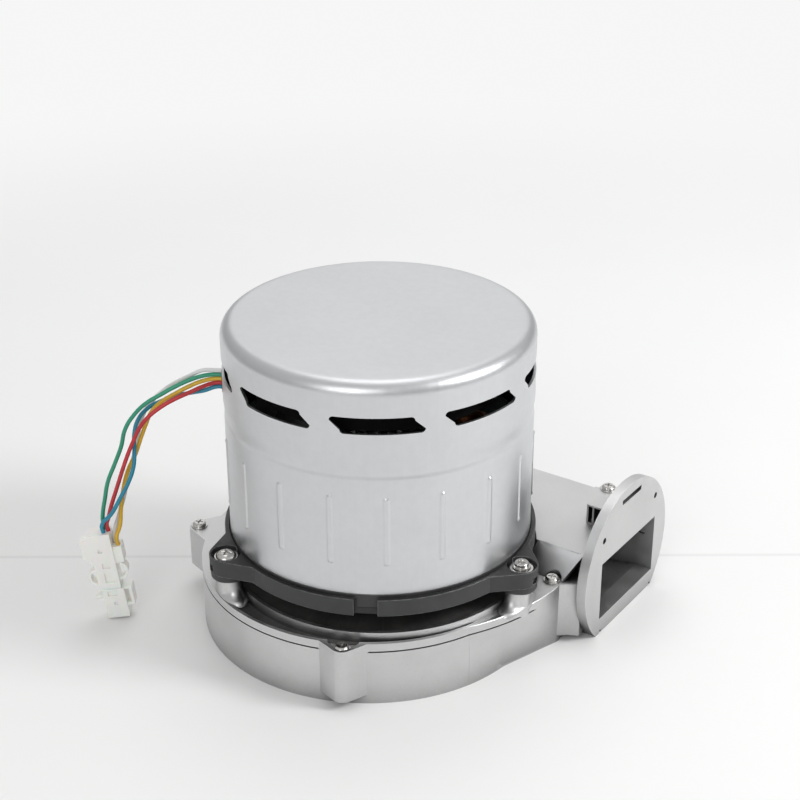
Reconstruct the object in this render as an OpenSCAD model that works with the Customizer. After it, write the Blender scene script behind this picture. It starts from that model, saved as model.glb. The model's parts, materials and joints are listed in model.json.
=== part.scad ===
// Direct-current blower fan: a die-cast spiral housing with its outlet flange,
// and above it a brushless motor under a deep-drawn can, carried on three
// rubber-isolated lugs. The shaft axis is Z, the base plane is Z = 0 and the
// air leaves along +X.

/* [Volute casting] */
// Height of the lower casting, from the base plane to the joint
base_h = 28.6; // [27:0.2:31]
// Distance of the spiral wall's front arc outside the can
volute_over = 11; // [10:0.5:13]
// Distance of the front arc's centre from the shaft, away from the outlet
volute_off = 7.5; // [6.5:0.1:8]
// Growth of the spiral wall's radius in the arc that leads to the duct
volute_growth = 14.5; // [13:0.5:16]
// Thickness of the cast side walls
wall_t = 3; // [2.6:0.1:3.4]
// Thickness of the cast floor
floor_t = 3.5; // [3:0.1:4]
// Radius of a housing screw boss
boss_r = 5.2; // [4.8:0.1:5.8]
// Thickness of the joint gasket
gasket_t = 0.8; // [0.5:0.1:1.2]

/* [Outlet duct and flange] */
// Distance of the flange's back face beyond the spiral wall's front radius
flange_over = 12; // [10:0.5:16]
// Thickness of the flange plate
flange_t = 5; // [4:0.2:6]
// Radius of the flange disc
flange_r = 43; // [41:0.5:45]
// Width of the rectangular outlet
outlet_w = 57; // [54:0.5:58]
// Height of the rectangular outlet
outlet_h = 32; // [28:0.5:33]
// Height of the outlet's lower edge above the base plane
outlet_z = 9; // [7:0.5:10]
// Height of the flat roof of the duct above the base plane
duct_top = 45; // [44:0.5:46]
// Thickness of the duct roof
roof_t = 3; // [2.4:0.1:3.4]
// Distance between the two tapped holes in the flange
bolt_span = 55; // [50:1:58]

/* [Volute cover] */
// Thickness of the cover plate under its sunk front channel
cover_t = 2.2; // [2:0.1:2.8]
// Depth of the sunk channel round the front
channel_h = 1.9; // [1.4:0.1:2.6]
// Width of the outer lip beside the channel
lip_t = 1.8; // [1.6:0.1:2.2]
// Distance of the raised round rim outside the can
rim_over = 0.8; // [0.4:0.1:1.8]
// Height of the raised round rim above the channel
rim_h = 5.4; // [4.6:0.1:6]
// Thickness of the dark motor plate inside the rim
plate_t = 3.4; // [2.4:0.1:3.6]
// Height of the lug pillars above the channel
pillar_h = 11.4; // [10:0.2:13]

/* [Air inlet] */
// Radius of the inlet bore in the base
inlet_r = 30; // [28:0.5:31]
// Radius of the throat of the inlet nozzle
throat_r = 26.5; // [25:0.5:27]
// Diameter of the circle of tapped holes round the inlet
inlet_pcd = 84; // [80:1:90]

/* [Mounting ring] */
// Distance of the dark ring's outside beyond the can
ring_over = 2.5; // [2:0.1:3.5]
// Height of the ring's side wall
ring_h = 8.7; // [7.6:0.1:9.6]
// Distance of the three lug screws outside the can
lug_over = 7; // [6.5:0.1:8]
// Radius of a lug's round end
lug_r = 9.6; // [9.2:0.1:10.4]
// Angle that a notch in the ring takes
notch_angle = 8.2; // [6:0.2:10]

/* [Motor can] */
// Outer diameter of the can above its shoulder
can_d = 150; // [149:0.2:152]
// Height of the can
can_h = 107; // [104:0.5:112]
// Wall thickness of the can
can_t = 1.2; // [0.9:0.1:1.5]
// Inset of the wall below the shoulder
can_step = 1.7; // [1.2:0.1:2.2]
// Radius of the can's top edge
can_edge = 6.5; // [5:0.5:9]
// Number of vent slots
vent_count = 8; // [6:1:9]
// Height of a vent slot
vent_h = 8.1; // [6:0.1:9]
// Angle that a vent slot takes
vent_angle = 33; // [26:0.5:34]
// Number of pressed ribs
rib_count = 18; // [12:1:24]
// Length of a pressed rib
rib_h = 33; // [26:0.5:36]
// Width of a pressed rib
rib_w = 2.4; // [2:0.1:3]

/* [Motor] */
// Radius of the shaft
shaft_r = 4; // [3.8:0.05:4.2]
// Running clearance between the shaft and what it turns in
shaft_gap = 0.05; // [0.02:0.01:0.1]
// Height of the stator stack
stack_h = 24; // [20:0.5:26]
// Room between the stator stack and the outside of the can
stator_room = 19; // [18:0.5:21]
// Radius of the rotor
rotor_r = 27; // [25:0.5:28]
// Air gap between the rotor and the teeth
air_gap = 0.6; // [0.4:0.1:1]
// Number of stator teeth
tooth_count = 12; // [9:3:12]
// Radius of the cooling fan's outer band
fan_r = 61; // [56:0.5:64]
// Number of blades on the cooling fan
fan_blades = 13; // [9:1:17]

/* [Impeller] */
// Outer radius of the impeller
impeller_r = 62; // [56:0.5:64]
// Height of the impeller blades
blade_h = 15.6; // [13:0.2:16]
// Number of impeller blades
blade_count = 12; // [8:1:16]
// Thickness of an impeller blade
blade_t = 1.4; // [1:0.1:1.8]

/* [Lead] */
// Diameter of one wire
wire_d = 2.1; // [2:0.05:2.2]
// Angle in plan at which the wires leave the can
grommet_angle = 205; // [203:0.5:207]
// Length of the mated connector pair
plug_h = 49; // [47:0.5:51]

/* [Hidden] */
$fn = 96;
eps = 0.05;

// Colours
cast_alu = [0.74, 0.74, 0.75];
drawn_zinc = [0.80, 0.81, 0.82];
dark_cast = [0.20, 0.20, 0.21];
black_rubber = [0.07, 0.07, 0.07];
bright_steel = [0.70, 0.70, 0.72];
lamination = [0.35, 0.35, 0.37];
copper = [0.72, 0.38, 0.18];
nylon = [0.92, 0.92, 0.88];

// Plan sizes that follow the can
can_r = can_d / 2;
low_r = can_r - can_step;
volute_r = can_r + volute_over;
flange_x = volute_r + flange_over;
rim_r = can_r + rim_over;
ring_r = can_r + ring_over;
lug_circle = can_r + lug_over;
stator_r = can_r - stator_room;

// Heights of the stack, from the base plane up
joint_z = base_h + gasket_t;
deck_z = joint_z + cover_t;
top_z = deck_z + channel_h;
rim_t = 2;
rim_in = rim_r - rim_t;
plate_top = deck_z + plate_t;
pillar_z = deck_z + pillar_h;
pad_t = 1;
lug_z = pillar_z + pad_t;
lug_drop = 3.3;
ring_z = lug_z + lug_drop;
ring_top = ring_z + ring_h;
ledge_t = 2.7;
frame_z = ring_z + ledge_t;
band_h = 1.6;
can_z = ring_top + band_h;
can_top = can_z + can_h;
shoulder_z = can_top - 46.5;
vent_mid_z = can_top - 20.3;
rib_mid_z = can_z + rib_h;

// Spiral wall: a front arc about one centre, then a larger quarter arc about a second
volute_y = 2.5;
front_mid = [-volute_off, volute_y];
back_r = volute_r + volute_growth;
back_mid = [volute_growth - volute_off, volute_y];
function polar(r, a) = [r * cos(a), r * sin(a)];

// Duct
duct_far = volute_y + back_r;
duct_near = duct_far - outlet_w - 2 * wall_t;
outlet_y = (duct_far + duct_near) / 2;
flange_face = flange_x + flange_t;
flange_mid = [outlet_y - 1.5, 31];
hood_r = rim_r + 2.5;
hood_near = duct_near + 2 * wall_t;
bolt_z = flange_mid[1] + 23;

// Housing screws: each by its place in plan and the height of its seat
front_turn = -63.6;
left_turn = 200.9;
back_turn = 135;
front_reach = volute_r + 2.2;
left_reach = volute_r + 6.6;
back_reach = back_r + 4;
tongue_site = [volute_r - 2, duct_near - 13];
duct_site = [flange_x - 25, duct_far + 2.2];
sites = [
    front_mid + polar(front_reach, front_turn),
    front_mid + polar(left_reach, left_turn),
    back_mid + polar(back_reach, back_turn),
    tongue_site,
    duct_site
];
seats = [deck_z, top_z, top_z, top_z, duct_top];
screw_r = 2;
pilot_r = 1.65;
screw_hole_r = 2.25;
head_r = 3.5;
head_h = 2.6;
screw_grip = 12;

// Lugs
lug_angles = [0, 120, 240];
lug_mid = lug_circle - 1.6;
lug_h = ring_top - lug_z;
pillar_r = 6;
cup_r = 7.2;
cup_z = ring_top - 2.6;
sleeve_bore_r = 2.1;
sleeve_r = 3.2;
isolator_r = 5.4;
washer_r = 6;
washer_t = 1;
collar_h = 1.6;
cap_h = 4;

// Motor frame and bearings
bearing_r = 11;
bearing_h = 7;
race_t = 2;
hub_r = 14;
web_t = 3;
lower_bearing_z = frame_z - 6;
stator_z = frame_z + 12;
coil_over = 4.5;
post_top = stator_z + stack_h + coil_over + 2.5;
post_circle = can_r - 10;
post_r = 4;
bracket_t = 3;
upper_bearing_z = post_top + 4;
board_z = post_top + 13;
board_t = 1.6;
board_r = can_r - 7;
board_top = board_z + board_t;
board_post_circle = can_r - 17;
board_screw_r = 1.25;
capacitor_circle = can_r - 29;
choke_circle = can_r - 31;
sink_x = can_r - 48;
sink_w = 18;
fan_h = 15;
fan_z = vent_mid_z - 9.4;
fan_hub_r = 11;
capacitor_h = fan_z - board_top - 11.3;
sink_h = fan_z - board_top - 12.3;
shaft_top = fan_z + fan_h + 2.4;

// Impeller
nozzle_z = 4;
nozzle_r = inlet_r + 4;
plateau_z = floor_t + 3.2;
blade_z = plateau_z + 2.7;
shroud_t = 1.2;
backplate_z = blade_z + blade_h;
backplate_t = 1.5;
eye_r = inlet_r + 2;
hub_bottom = blade_z + 4.6;
impeller_hub_r = 10;
hub_flange_r = 17;
hub_flange_t = 1.8;
hub_top = joint_z + 0.6;
rivet_circle = 13.5;
rivet_r = 1.5;
rivet_head = 1.1;
stud_r = 3;

// Lead, in a frame turned in plan: u outwards, v to its left, then z
lead_turn = 215;
wire_r = wire_d / 2;
lead_z = can_top - 38.8;
lead_pitch = 2.2;
grommet_face = can_r + 2.5;
header_r = can_r - 15;
wire_sides = 8;

// Mated connector: where it stands in the lead's frame, and its lean outwards
plug_foot = [grommet_face + 55.9, 3, 1.2];
plug_lean = 7;
shelf_drop = 8;
function plug_point(x, y, z) =
    plug_foot + [x * cos(plug_lean) + z * sin(plug_lean), y, z * cos(plug_lean) - x * sin(plug_lean)];

// ---------------------------------------------------------------- outlines

// Three quarters of a disc: all but the quarter that the larger arc takes over
module front_arc(inset) {
    difference() {
        translate(front_mid) circle(r = volute_r - inset);
        translate([back_mid[0] - 2 * back_r, volute_y]) square(2 * back_r);
    }
}

module back_arc(inset) {
    intersection() {
        translate(back_mid) circle(r = back_r - inset);
        translate([back_mid[0] - 2 * back_r, volute_y]) square(2 * back_r);
    }
}

// The spiral wall and duct seen from above, its walls moved inwards by an inset
module shell_outline(inset, reach) {
    front_arc(inset);
    back_arc(inset);
    translate([back_mid[0], duct_near + inset])
        square([reach - back_mid[0], duct_far - duct_near - 2 * inset]);
}

// The turn at which a flank from a point p touches a round end of radius r centred at [d, 0]
function flank_turn(p, d, r) = atan2(p[1], p[0] - d) - acos(r / norm([p[0] - d, p[1]])) - 3;

// A round end that two straight flanks join to a round wall of radius wall
module lobe(wall, spread, d, r) {
    foot = polar(wall, spread) - [0.6, 0];
    touch = polar(r, flank_turn(foot, d, r));
    translate([d, 0]) circle(r = r);
    polygon([
        [foot[0] - 5, -foot[1]], [foot[0], -foot[1]], [d + touch[0], -touch[1]],
        [d + touch[0], touch[1]], foot, [foot[0] - 5, foot[1]]]);
}

module front_boss(r, spread) {
    translate(front_mid) rotate(front_turn) lobe(volute_r, spread, front_reach, r);
}

module left_boss(r, spread) {
    translate(front_mid) rotate(left_turn) lobe(volute_r, spread, left_reach, r);
}

module back_boss(r, spread) {
    translate(back_mid) rotate(back_turn) lobe(back_r, spread, back_reach, r);
}

// The boss beside the tongue, filled back to the spiral wall and the duct
module tongue_boss() {
    foot = front_mid + polar(volute_r - 0.6, -9);
    translate(tongue_site) circle(r = boss_r);
    polygon([
        foot, tongue_site + polar(boss_r, -15), tongue_site + polar(boss_r, 27),
        [tongue_site[0] + boss_r + 1, duct_near + 1], [tongue_site[0] - 16, duct_near + 1], foot - [9, 0]]);
}

module duct_boss() {
    translate(duct_site) circle(r = boss_r);
    translate([duct_site[0] - boss_r - 2, duct_far - wall_t + 1]) square([2 * boss_r + 4, wall_t]);
}

module housing_outline() {
    shell_outline(0, flange_x);
    front_boss(boss_r, 8);
    left_boss(boss_r, 9);
    back_boss(boss_r, 8);
    tongue_boss();
    duct_boss();
}

module at_sites() {
    for (p = sites) translate([p[0], p[1], 0]) children();
}

module at_lugs() {
    for (a = lug_angles) rotate(a) translate([lug_circle, 0, 0]) children();
}

// ---------------------------------------------------------------- volute base

module flange_outline() {
    slot_w = 20;
    slot_h = 2.6;
    difference() {
        translate(flange_mid) circle(r = flange_r);
        translate([0, -flange_r]) square([2 * flange_r + outlet_y, flange_r]);
        for (side = [-1, 1]) translate([outlet_y + side * (outlet_w / 2 - 1.5) - 1.2, -1]) square([2.4, 2.6]);
        translate([outlet_y - slot_w / 2, flange_mid[1] + 34.7]) square([slot_w, slot_h]);
        translate([outlet_y - outlet_w / 2, outlet_z]) square([outlet_w, outlet_h]);
        for (side = [-1, 1]) translate([outlet_y + side * bolt_span / 2, bolt_z]) circle(r = pilot_r);
    }
}

// The duct floor climbs to the lower edge of the outlet
module duct_ramp() {
    run = 34;
    lap = wall_t / 2;
    translate([0, duct_far - lap, 0]) rotate([90, 0, 0])
        linear_extrude(outlet_w + 2 * wall_t - 2 * lap) polygon([
            [flange_x - run, floor_t - 1], [flange_x + eps, floor_t - 1],
            [flange_x + eps, outlet_z], [flange_x - 4, outlet_z], [flange_x - run, floor_t]]);
}

module volute_base() color(cast_alu) difference() {
    union() {
        difference() {
            union() {
                linear_extrude(base_h) shell_outline(0, flange_x + eps);
                translate([0, 0, 5]) linear_extrude(base_h - 5) front_boss(boss_r, 8);
                translate([0, 0, 12]) linear_extrude(base_h - 12) left_boss(boss_r, 9);
                translate([0, 0, 12]) linear_extrude(base_h - 12) back_boss(boss_r, 8);
                linear_extrude(base_h) tongue_boss();
                linear_extrude(base_h) duct_boss();
            }
            translate([0, 0, floor_t]) linear_extrude(base_h) shell_outline(wall_t, flange_x + 1);
        }
        duct_ramp();
        translate([flange_x, 0, 0]) rotate([90, 0, 90]) linear_extrude(flange_t) flange_outline();
        translate([0, 0, floor_t - 1]) cylinder(r = inlet_pcd / 2 + 6, h = plateau_z - floor_t + 1);
    }
    translate([0, 0, -1]) cylinder(r = inlet_r, h = plateau_z + 2);
    translate([0, 0, nozzle_z]) cylinder(r = nozzle_r, h = plateau_z);
    for (i = [0 : 3]) rotate(45 + 90 * i) translate([inlet_pcd / 2, 0, -1]) cylinder(r = screw_r, h = 6.2);
    at_sites() translate([0, 0, base_h - screw_grip]) cylinder(r = pilot_r, h = screw_grip + 1);
}

// ---------------------------------------------------------------- volute cover

// The raised duct roof in plan, outside the motor's rim and beyond a near edge
module hood_outline(inset, near) {
    difference() {
        shell_outline(inset, flange_x);
        circle(r = hood_r + inset);
        translate([-2 * back_r, near - 4 * back_r]) square(4 * back_r);
    }
}

// The raised roof with its long slope at the back
module hood(inset, near, foot, top) {
    back_run = 80;
    start = back_mid[0];
    difference() {
        translate([0, 0, foot]) linear_extrude(top - foot) hood_outline(inset, near);
        translate([0, 2 * back_r, 0]) rotate([90, 0, 0]) linear_extrude(2 * back_r) polygon([
            [start, top], [start - back_run, top - duct_top + top_z],
            [start - 2 * back_run, top - duct_top + top_z], [start - 2 * back_run, 2 * top], [start, 2 * top]]);
    }
}

// The slope that climbs from the boss beside the tongue to the duct roof
module tongue_slope() {
    foot = tongue_site[1] + 1;
    intersection() {
        translate([0, 0, top_z - 1]) linear_extrude(duct_top - top_z + 1) tongue_boss();
        rotate([90, 0, 90]) linear_extrude(tongue_site[0] + 3) polygon([
            [foot, top_z - 1], [foot, top_z], [duct_near + 0.1, duct_top],
            [duct_near + wall_t, duct_top], [duct_near + wall_t, top_z - 1]]);
    }
}

// A small cored socket with two cells that stands on the duct roof behind the flange
module cored_socket() {
    skin = 1;
    long = 18;
    deep = 12;
    tall = 11;
    first = 2.2;
    translate([flange_x - long, outlet_y - 3.5, duct_top - 1]) difference() {
        cube([long, deep, tall + 1]);
        translate([skin, -1, 2]) cube([first, deep, tall - skin - 1]);
        translate([2 * skin + first, -1, 2]) cube([long - first - 3 * skin, deep, tall - skin - 1]);
    }
}

// The sunk channel between the rim and the lip, round the front and into the front boss
module channel() {
    from = -112;
    to = -20;
    far = 2 * volute_r;
    translate([0, 0, deck_z]) linear_extrude(channel_h + 1) difference() {
        intersection() {
            union() {
                shell_outline(lip_t, flange_x);
                front_boss(boss_r - 0.8, 5);
            }
            polygon([[0, 0], polar(far, from), polar(far, (from + to) / 2), polar(far, to)]);
        }
        circle(r = rim_r);
    }
}

module volute_cover() color(cast_alu) difference() {
    union() {
        difference() {
            union() {
                translate([0, 0, joint_z]) linear_extrude(cover_t + channel_h) housing_outline();
                hood(0, duct_near, top_z - 1, duct_top);
                tongue_slope();
                translate([duct_site[0], duct_site[1], joint_z]) cylinder(r = boss_r, h = duct_top - joint_z);
                translate([duct_site[0] - boss_r - 2, duct_far - 1, joint_z])
                    cube([2 * boss_r + 4, 2.2, duct_top - joint_z]);
            }
            channel();
            hood(wall_t, hood_near, joint_z - 1, duct_top - roof_t);
            // shaded recess under the near edge of the roof
            translate([tongue_site[0] + 3, duct_near - 5, top_z])
                cube([flange_x, 5 + wall_t, duct_top - roof_t - top_z]);
            translate([tongue_site[0], tongue_site[1], top_z]) cylinder(r = head_r + 1.2, h = duct_top);
        }
        translate([0, 0, deck_z]) cylinder(r = rim_r, h = rim_h);
        for (a = lug_angles) rotate(a) translate([lug_mid, 0, joint_z]) cylinder(r = pillar_r, h = pillar_z - joint_z);
        cored_socket();
    }
    translate([0, 0, deck_z]) cylinder(r = rim_in, h = rim_h + 1);
    translate([0, 0, joint_z - 1]) cylinder(r = rim_r - 10, h = cover_t + 2);
    at_sites() translate([0, 0, joint_z - 1]) cylinder(r = screw_hole_r, h = duct_top);
    at_lugs() translate([0, 0, pillar_z - screw_grip]) cylinder(r = pilot_r, h = screw_grip + 1);
}

module cover_gasket() color(black_rubber) translate([0, 0, base_h]) linear_extrude(gasket_t) difference() {
    shell_outline(0.6, flange_x);
    shell_outline(wall_t - 0.5, flange_x + 1);
}

// A cross-recessed pan-head screw with its washer face at z = 0: a plain neck, then the thread
module pan_screw(neck) {
    wide = head_r + 0.6;
    thin = 0.8;
    difference() {
        union() {
            cylinder(r = wide, h = thin);
            cylinder(r = head_r, h = head_h - thin);
            translate([0, 0, head_h - thin]) cylinder(r1 = head_r, r2 = head_r - 0.9, h = thin);
        }
        for (a = [20, 110]) rotate(a) translate([-2, -0.4, head_h - 1.2]) cube([4, 0.8, 2]);
    }
    translate([0, 0, -neck]) cylinder(r = screw_r, h = neck + eps);
    translate([0, 0, -neck - screw_grip + 2]) cylinder(r = pilot_r, h = screw_grip - 2 + eps);
}

module cover_screws() color(bright_steel) for (i = [0 : len(sites) - 1])
    translate([sites[i][0], sites[i][1], seats[i]]) pan_screw(seats[i] - base_h);

// ---------------------------------------------------------------- inlet and motor plate

module inlet_nozzle() color(dark_cast) rotate_extrude() polygon([
    [nozzle_r, nozzle_z], [nozzle_r, plateau_z], [inlet_r - 0.6, plateau_z], [throat_r + 1.2, blade_z],
    [throat_r, blade_z], [throat_r + 0.4, plateau_z], [inlet_r - 1.4, nozzle_z]]);

module motor_plate() color(dark_cast) difference() {
    translate([0, 0, deck_z]) cylinder(r = rim_in, h = plate_t);
    translate([0, 0, deck_z - 1]) cylinder(r = shaft_r + 0.4, h = plate_t + 2);
    translate([0, 0, plate_top - 2]) cylinder(r = 9, h = 3);
}

module shaft_seal() color(black_rubber) translate([0, 0, plate_top - 2]) difference() {
    cylinder(r = 9, h = 3);
    translate([0, 0, -1]) cylinder(r = shaft_r + shaft_gap, h = 5);
}

// ---------------------------------------------------------------- mounting ring

module ring_outline() {
    circle(r = ring_r);
    for (a = lug_angles) rotate(a) lobe(ring_r, 14, lug_mid, lug_r);
}

module mount_ring() color(dark_cast) difference() {
    union() {
        translate([0, 0, ring_z]) linear_extrude(ring_h) ring_outline();
        for (a = lug_angles) rotate(a) translate([lug_mid, 0, lug_z]) cylinder(r = lug_r - 0.4, h = lug_drop + 1);
    }
    translate([0, 0, lug_z - 1]) cylinder(r = low_r - 3.5, h = lug_h + 2);
    translate([0, 0, frame_z]) cylinder(r = can_r + 0.3, h = ring_h);
    at_lugs() translate([0, 0, cup_z]) cylinder(r = cup_r, h = lug_h);
    at_lugs() translate([0, 0, lug_z - 1]) cylinder(r = isolator_r, h = lug_h + 2);
    for (a = lug_angles) rotate(a) {
        translate([lug_mid + lug_r - 1.8, -2, ring_z + 1]) cube([4, 4, 3.2]);
        rotate(60 - notch_angle / 2) rotate_extrude(angle = notch_angle)
            translate([can_r - 0.5, ring_z - 1]) square([8, ring_h + 3]);
    }
}

module rubber_isolators() color(black_rubber) at_lugs() difference() {
    union() {
        translate([0, 0, pillar_z]) cylinder(r = pillar_r + 0.8, h = pad_t);
        translate([0, 0, pillar_z]) cylinder(r = isolator_r, h = cup_z - pillar_z);
    }
    translate([0, 0, lug_z - 2 * pad_t]) cylinder(r = sleeve_r, h = lug_h + 2);
}

module spacer_sleeves() color(bright_steel) at_lugs() difference() {
    translate([0, 0, pillar_z]) cylinder(r = sleeve_r, h = cup_z - pillar_z);
    translate([0, 0, pillar_z - 1]) cylinder(r = sleeve_bore_r, h = lug_h + 2);
}

module lug_washers() color(bright_steel) at_lugs() difference() {
    union() {
        translate([0, 0, cup_z]) cylinder(r = washer_r, h = washer_t);
        translate([0, 0, cup_z]) cylinder(r = sleeve_r + 0.6, h = washer_t + collar_h);
    }
    translate([0, 0, cup_z - 1]) cylinder(r = sleeve_bore_r, h = washer_t + collar_h + 2);
}

module lug_screws() color(bright_steel) at_lugs() {
    seat = cup_z + washer_t + collar_h;
    translate([0, 0, seat]) difference() {
        cylinder(r = head_r, h = cap_h);
        translate([0, 0, cap_h / 2]) cylinder(r = head_r / 2, h = cap_h, $fn = 6);
    }
    translate([0, 0, pillar_z]) cylinder(r = screw_r, h = seat - pillar_z + eps);
    translate([0, 0, pillar_z - screw_grip + 1]) cylinder(r = pilot_r, h = screw_grip - 1 + eps);
}

// ---------------------------------------------------------------- motor

spigot_out = low_r - can_t - 0.1;

module motor_frame() color(dark_cast) difference() {
    union() {
        rotate_extrude() polygon([
            [hub_r - 1, frame_z], [can_r, frame_z], [can_r, can_z], [spigot_out, can_z],
            [spigot_out, can_z + 4], [spigot_out - 2, can_z + 4], [spigot_out - 2, frame_z + web_t],
            [stator_r + 3, frame_z + web_t], [stator_r + 3, stator_z + 8], [stator_r, stator_z + 8],
            [stator_r, stator_z], [stator_r - 2.5, stator_z], [stator_r - 2.5, frame_z + web_t],
            [hub_r - 1, frame_z + web_t]]);
        translate([0, 0, lower_bearing_z - 2]) cylinder(r = hub_r, h = bearing_h + 8);
        for (i = [0 : 3]) rotate(45 + 90 * i) translate([post_circle, 0, frame_z + 1])
            cylinder(r = post_r, h = post_top - frame_z - 1);
    }
    translate([0, 0, lower_bearing_z - 3]) cylinder(r = bearing_r, h = bearing_h + 3);
    translate([0, 0, lower_bearing_z]) cylinder(r = bearing_r - race_t, h = 4 * bearing_h);
    for (i = [0 : 3]) rotate(45 + 90 * i) translate([post_circle, 0, post_top - 10])
        cylinder(r = pilot_r, h = 11);
}

// A deep-groove ball bearing, its two rings joined by the shields
module bearing(z) {
    translate([0, 0, z]) difference() {
        cylinder(r = bearing_r, h = bearing_h);
        translate([0, 0, -1]) cylinder(r = shaft_r + shaft_gap, h = bearing_h + 2);
        for (side = [-0.5, bearing_h - 0.5]) translate([0, 0, side]) difference() {
            cylinder(r = bearing_r - race_t, h = 1);
            translate([0, 0, -1]) cylinder(r = shaft_r + race_t, h = 3);
        }
    }
}

module lower_bearing() color(bright_steel) bearing(lower_bearing_z);

module upper_bearing() color(bright_steel) bearing(upper_bearing_z);

module bearing_circlip() color(lamination) translate([0, 0, lower_bearing_z - 1.2]) difference() {
    cylinder(r = bearing_r, h = 1.2);
    translate([0, 0, -1]) cylinder(r = bearing_r - race_t, h = 4);
    rotate(-20) translate([bearing_r - 4, -2, -1]) cube([6, 4, 4]);
}

tooth_in = rotor_r + air_gap;
yoke_in = stator_r - 9;
tooth_w = 6.4;

module stator_core() color(lamination) translate([0, 0, stator_z]) linear_extrude(stack_h) {
    difference() {
        circle(r = stator_r);
        circle(r = yoke_in);
    }
    difference() {
        for (i = [0 : tooth_count - 1]) rotate(i * 360 / tooth_count) {
            translate([tooth_in - 1, -tooth_w / 2]) square([yoke_in - tooth_in + 2, tooth_w]);
            translate([tooth_in - 1, -tooth_w / 2 - 2.2]) square([3.4, tooth_w + 4.4]);
        }
        circle(r = tooth_in);
    }
}

// A frame round each tooth, between two distances from the tooth's own sides
module tooth_frames(inner, outer, r1, r2) {
    for (i = [0 : tooth_count - 1]) rotate(i * 360 / tooth_count)
        translate([r1, 0, stator_z + stack_h / 2]) difference() {
            translate([0, -tooth_w / 2 - outer, -stack_h / 2 - outer])
                cube([r2 - r1, tooth_w + 2 * outer, stack_h + 2 * outer]);
            translate([-1, -tooth_w / 2 - inner, -stack_h / 2 - inner])
                cube([r2 - r1 + 2, tooth_w + 2 * inner, stack_h + 2 * inner]);
        }
}

skin_t = 0.8;

module stator_insulators() color(nylon) tooth_frames(0, skin_t, tooth_in + 2.6, yoke_in - skin_t);

module stator_coils() color(copper) tooth_frames(skin_t, coil_over, tooth_in + 9, yoke_in - 2);

module upper_bracket() color(cast_alu) difference() {
    union() {
        translate([0, 0, post_top]) cylinder(r = board_r, h = bracket_t);
        translate([0, 0, post_top]) cylinder(r = hub_r, h = upper_bearing_z - post_top + bearing_h);
        for (i = [0 : 3]) rotate(90 * i) translate([board_post_circle, 0, post_top])
            cylinder(r = 3.5, h = board_z - post_top);
    }
    translate([0, 0, post_top - 1]) cylinder(r = bearing_r - race_t, h = 2 * bearing_h);
    translate([0, 0, upper_bearing_z - skin_t]) cylinder(r = bearing_r, h = 2 * bearing_h);
    for (i = [0 : 3]) rotate(90 * i) {
        rotate(18) rotate_extrude(angle = 54) translate([22, post_top - 1]) square([28, bracket_t + 2]);
        rotate(45) translate([post_circle, 0, post_top - 1]) cylinder(r = screw_hole_r, h = bracket_t + 2);
        translate([board_post_circle, 0, board_z - 8]) cylinder(r = board_screw_r, h = 9);
    }
}

module bracket_screws() color(bright_steel) for (i = [0 : 3]) rotate(45 + 90 * i)
    translate([post_circle, 0, post_top]) {
        translate([0, 0, bracket_t]) cylinder(r = head_r, h = head_h);
        cylinder(r = screw_r, h = bracket_t + eps);
        translate([0, 0, -8.5]) cylinder(r = pilot_r, h = 8.5 + eps);
    }

module wave_washer() color(bright_steel) translate([0, 0, upper_bearing_z - skin_t]) difference() {
    cylinder(r = bearing_r, h = skin_t);
    translate([0, 0, -1]) cylinder(r = bearing_r - race_t, h = 3);
}

// ---------------------------------------------------------------- electronics

module circuit_board() color([0.05, 0.30, 0.16]) translate([0, 0, board_z]) difference() {
    cylinder(r = board_r, h = board_t);
    translate([0, 0, -1]) cylinder(r = hub_r + 2, h = board_t + 2);
    for (i = [0 : 3]) rotate(90 * i) translate([board_post_circle, 0, -1]) cylinder(r = 1.6, h = board_t + 2);
}

module board_screws() color(bright_steel) for (i = [0 : 3]) rotate(90 * i)
    translate([board_post_circle, 0, board_top]) {
        cylinder(r = 2.8, h = 2);
        translate([0, 0, -8]) cylinder(r = board_screw_r, h = 8 + eps);
    }

module board_capacitors() color([0.12, 0.13, 0.20]) for (a = [58, 76, 94]) rotate(a)
    translate([capacitor_circle, 0, board_top]) {
        cylinder(r = 6.3, h = capacitor_h);
        translate([0, 0, capacitor_h - eps]) cylinder(r1 = 6.3, r2 = 5.4, h = 0.9);
    }

module board_choke() color([0.55, 0.35, 0.15]) rotate(25) translate([choke_circle, 0, board_top + 3.6])
    rotate_extrude() translate([7.5, 0]) circle(r = 3.6);

module heat_sink() color(cast_alu) rotate(-48) translate([sink_x, -20, board_top]) difference() {
    cube([sink_w, 40, sink_h]);
    for (i = [0 : 6]) translate([-1, 2.3 + i * 5.4, 4]) cube([sink_w - 4, 3, sink_h]);
}

module power_transistors() color(black_rubber) rotate(-48) for (i = [-1 : 1])
    translate([sink_x + sink_w, i * 12 - 4.5, board_top + 2]) cube([4.4, 9, 10]);

module board_header() color(nylon) rotate(grommet_angle) translate([header_r - 8, -4, board_top])
    cube([8, 8, lead_z + 3 * lead_pitch - board_top]);

// The stack of five wires where they pass the can wall
module at_leads() {
    for (i = [-2 : 2]) translate([0, 0, lead_z + i * lead_pitch]) children();
}

module inner_leads() color(black_rubber) rotate(grommet_angle) at_leads()
    translate([header_r, 0, 0]) rotate([0, 90, 0]) cylinder(r = wire_r, h = grommet_face - header_r);

module grommet_slot(half) {
    reach = 2 * lead_pitch;
    for (s = [-1, 1]) translate([0, s * reach]) circle(r = half);
    translate([-half, -reach]) square([2 * half, 2 * reach]);
}

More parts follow.
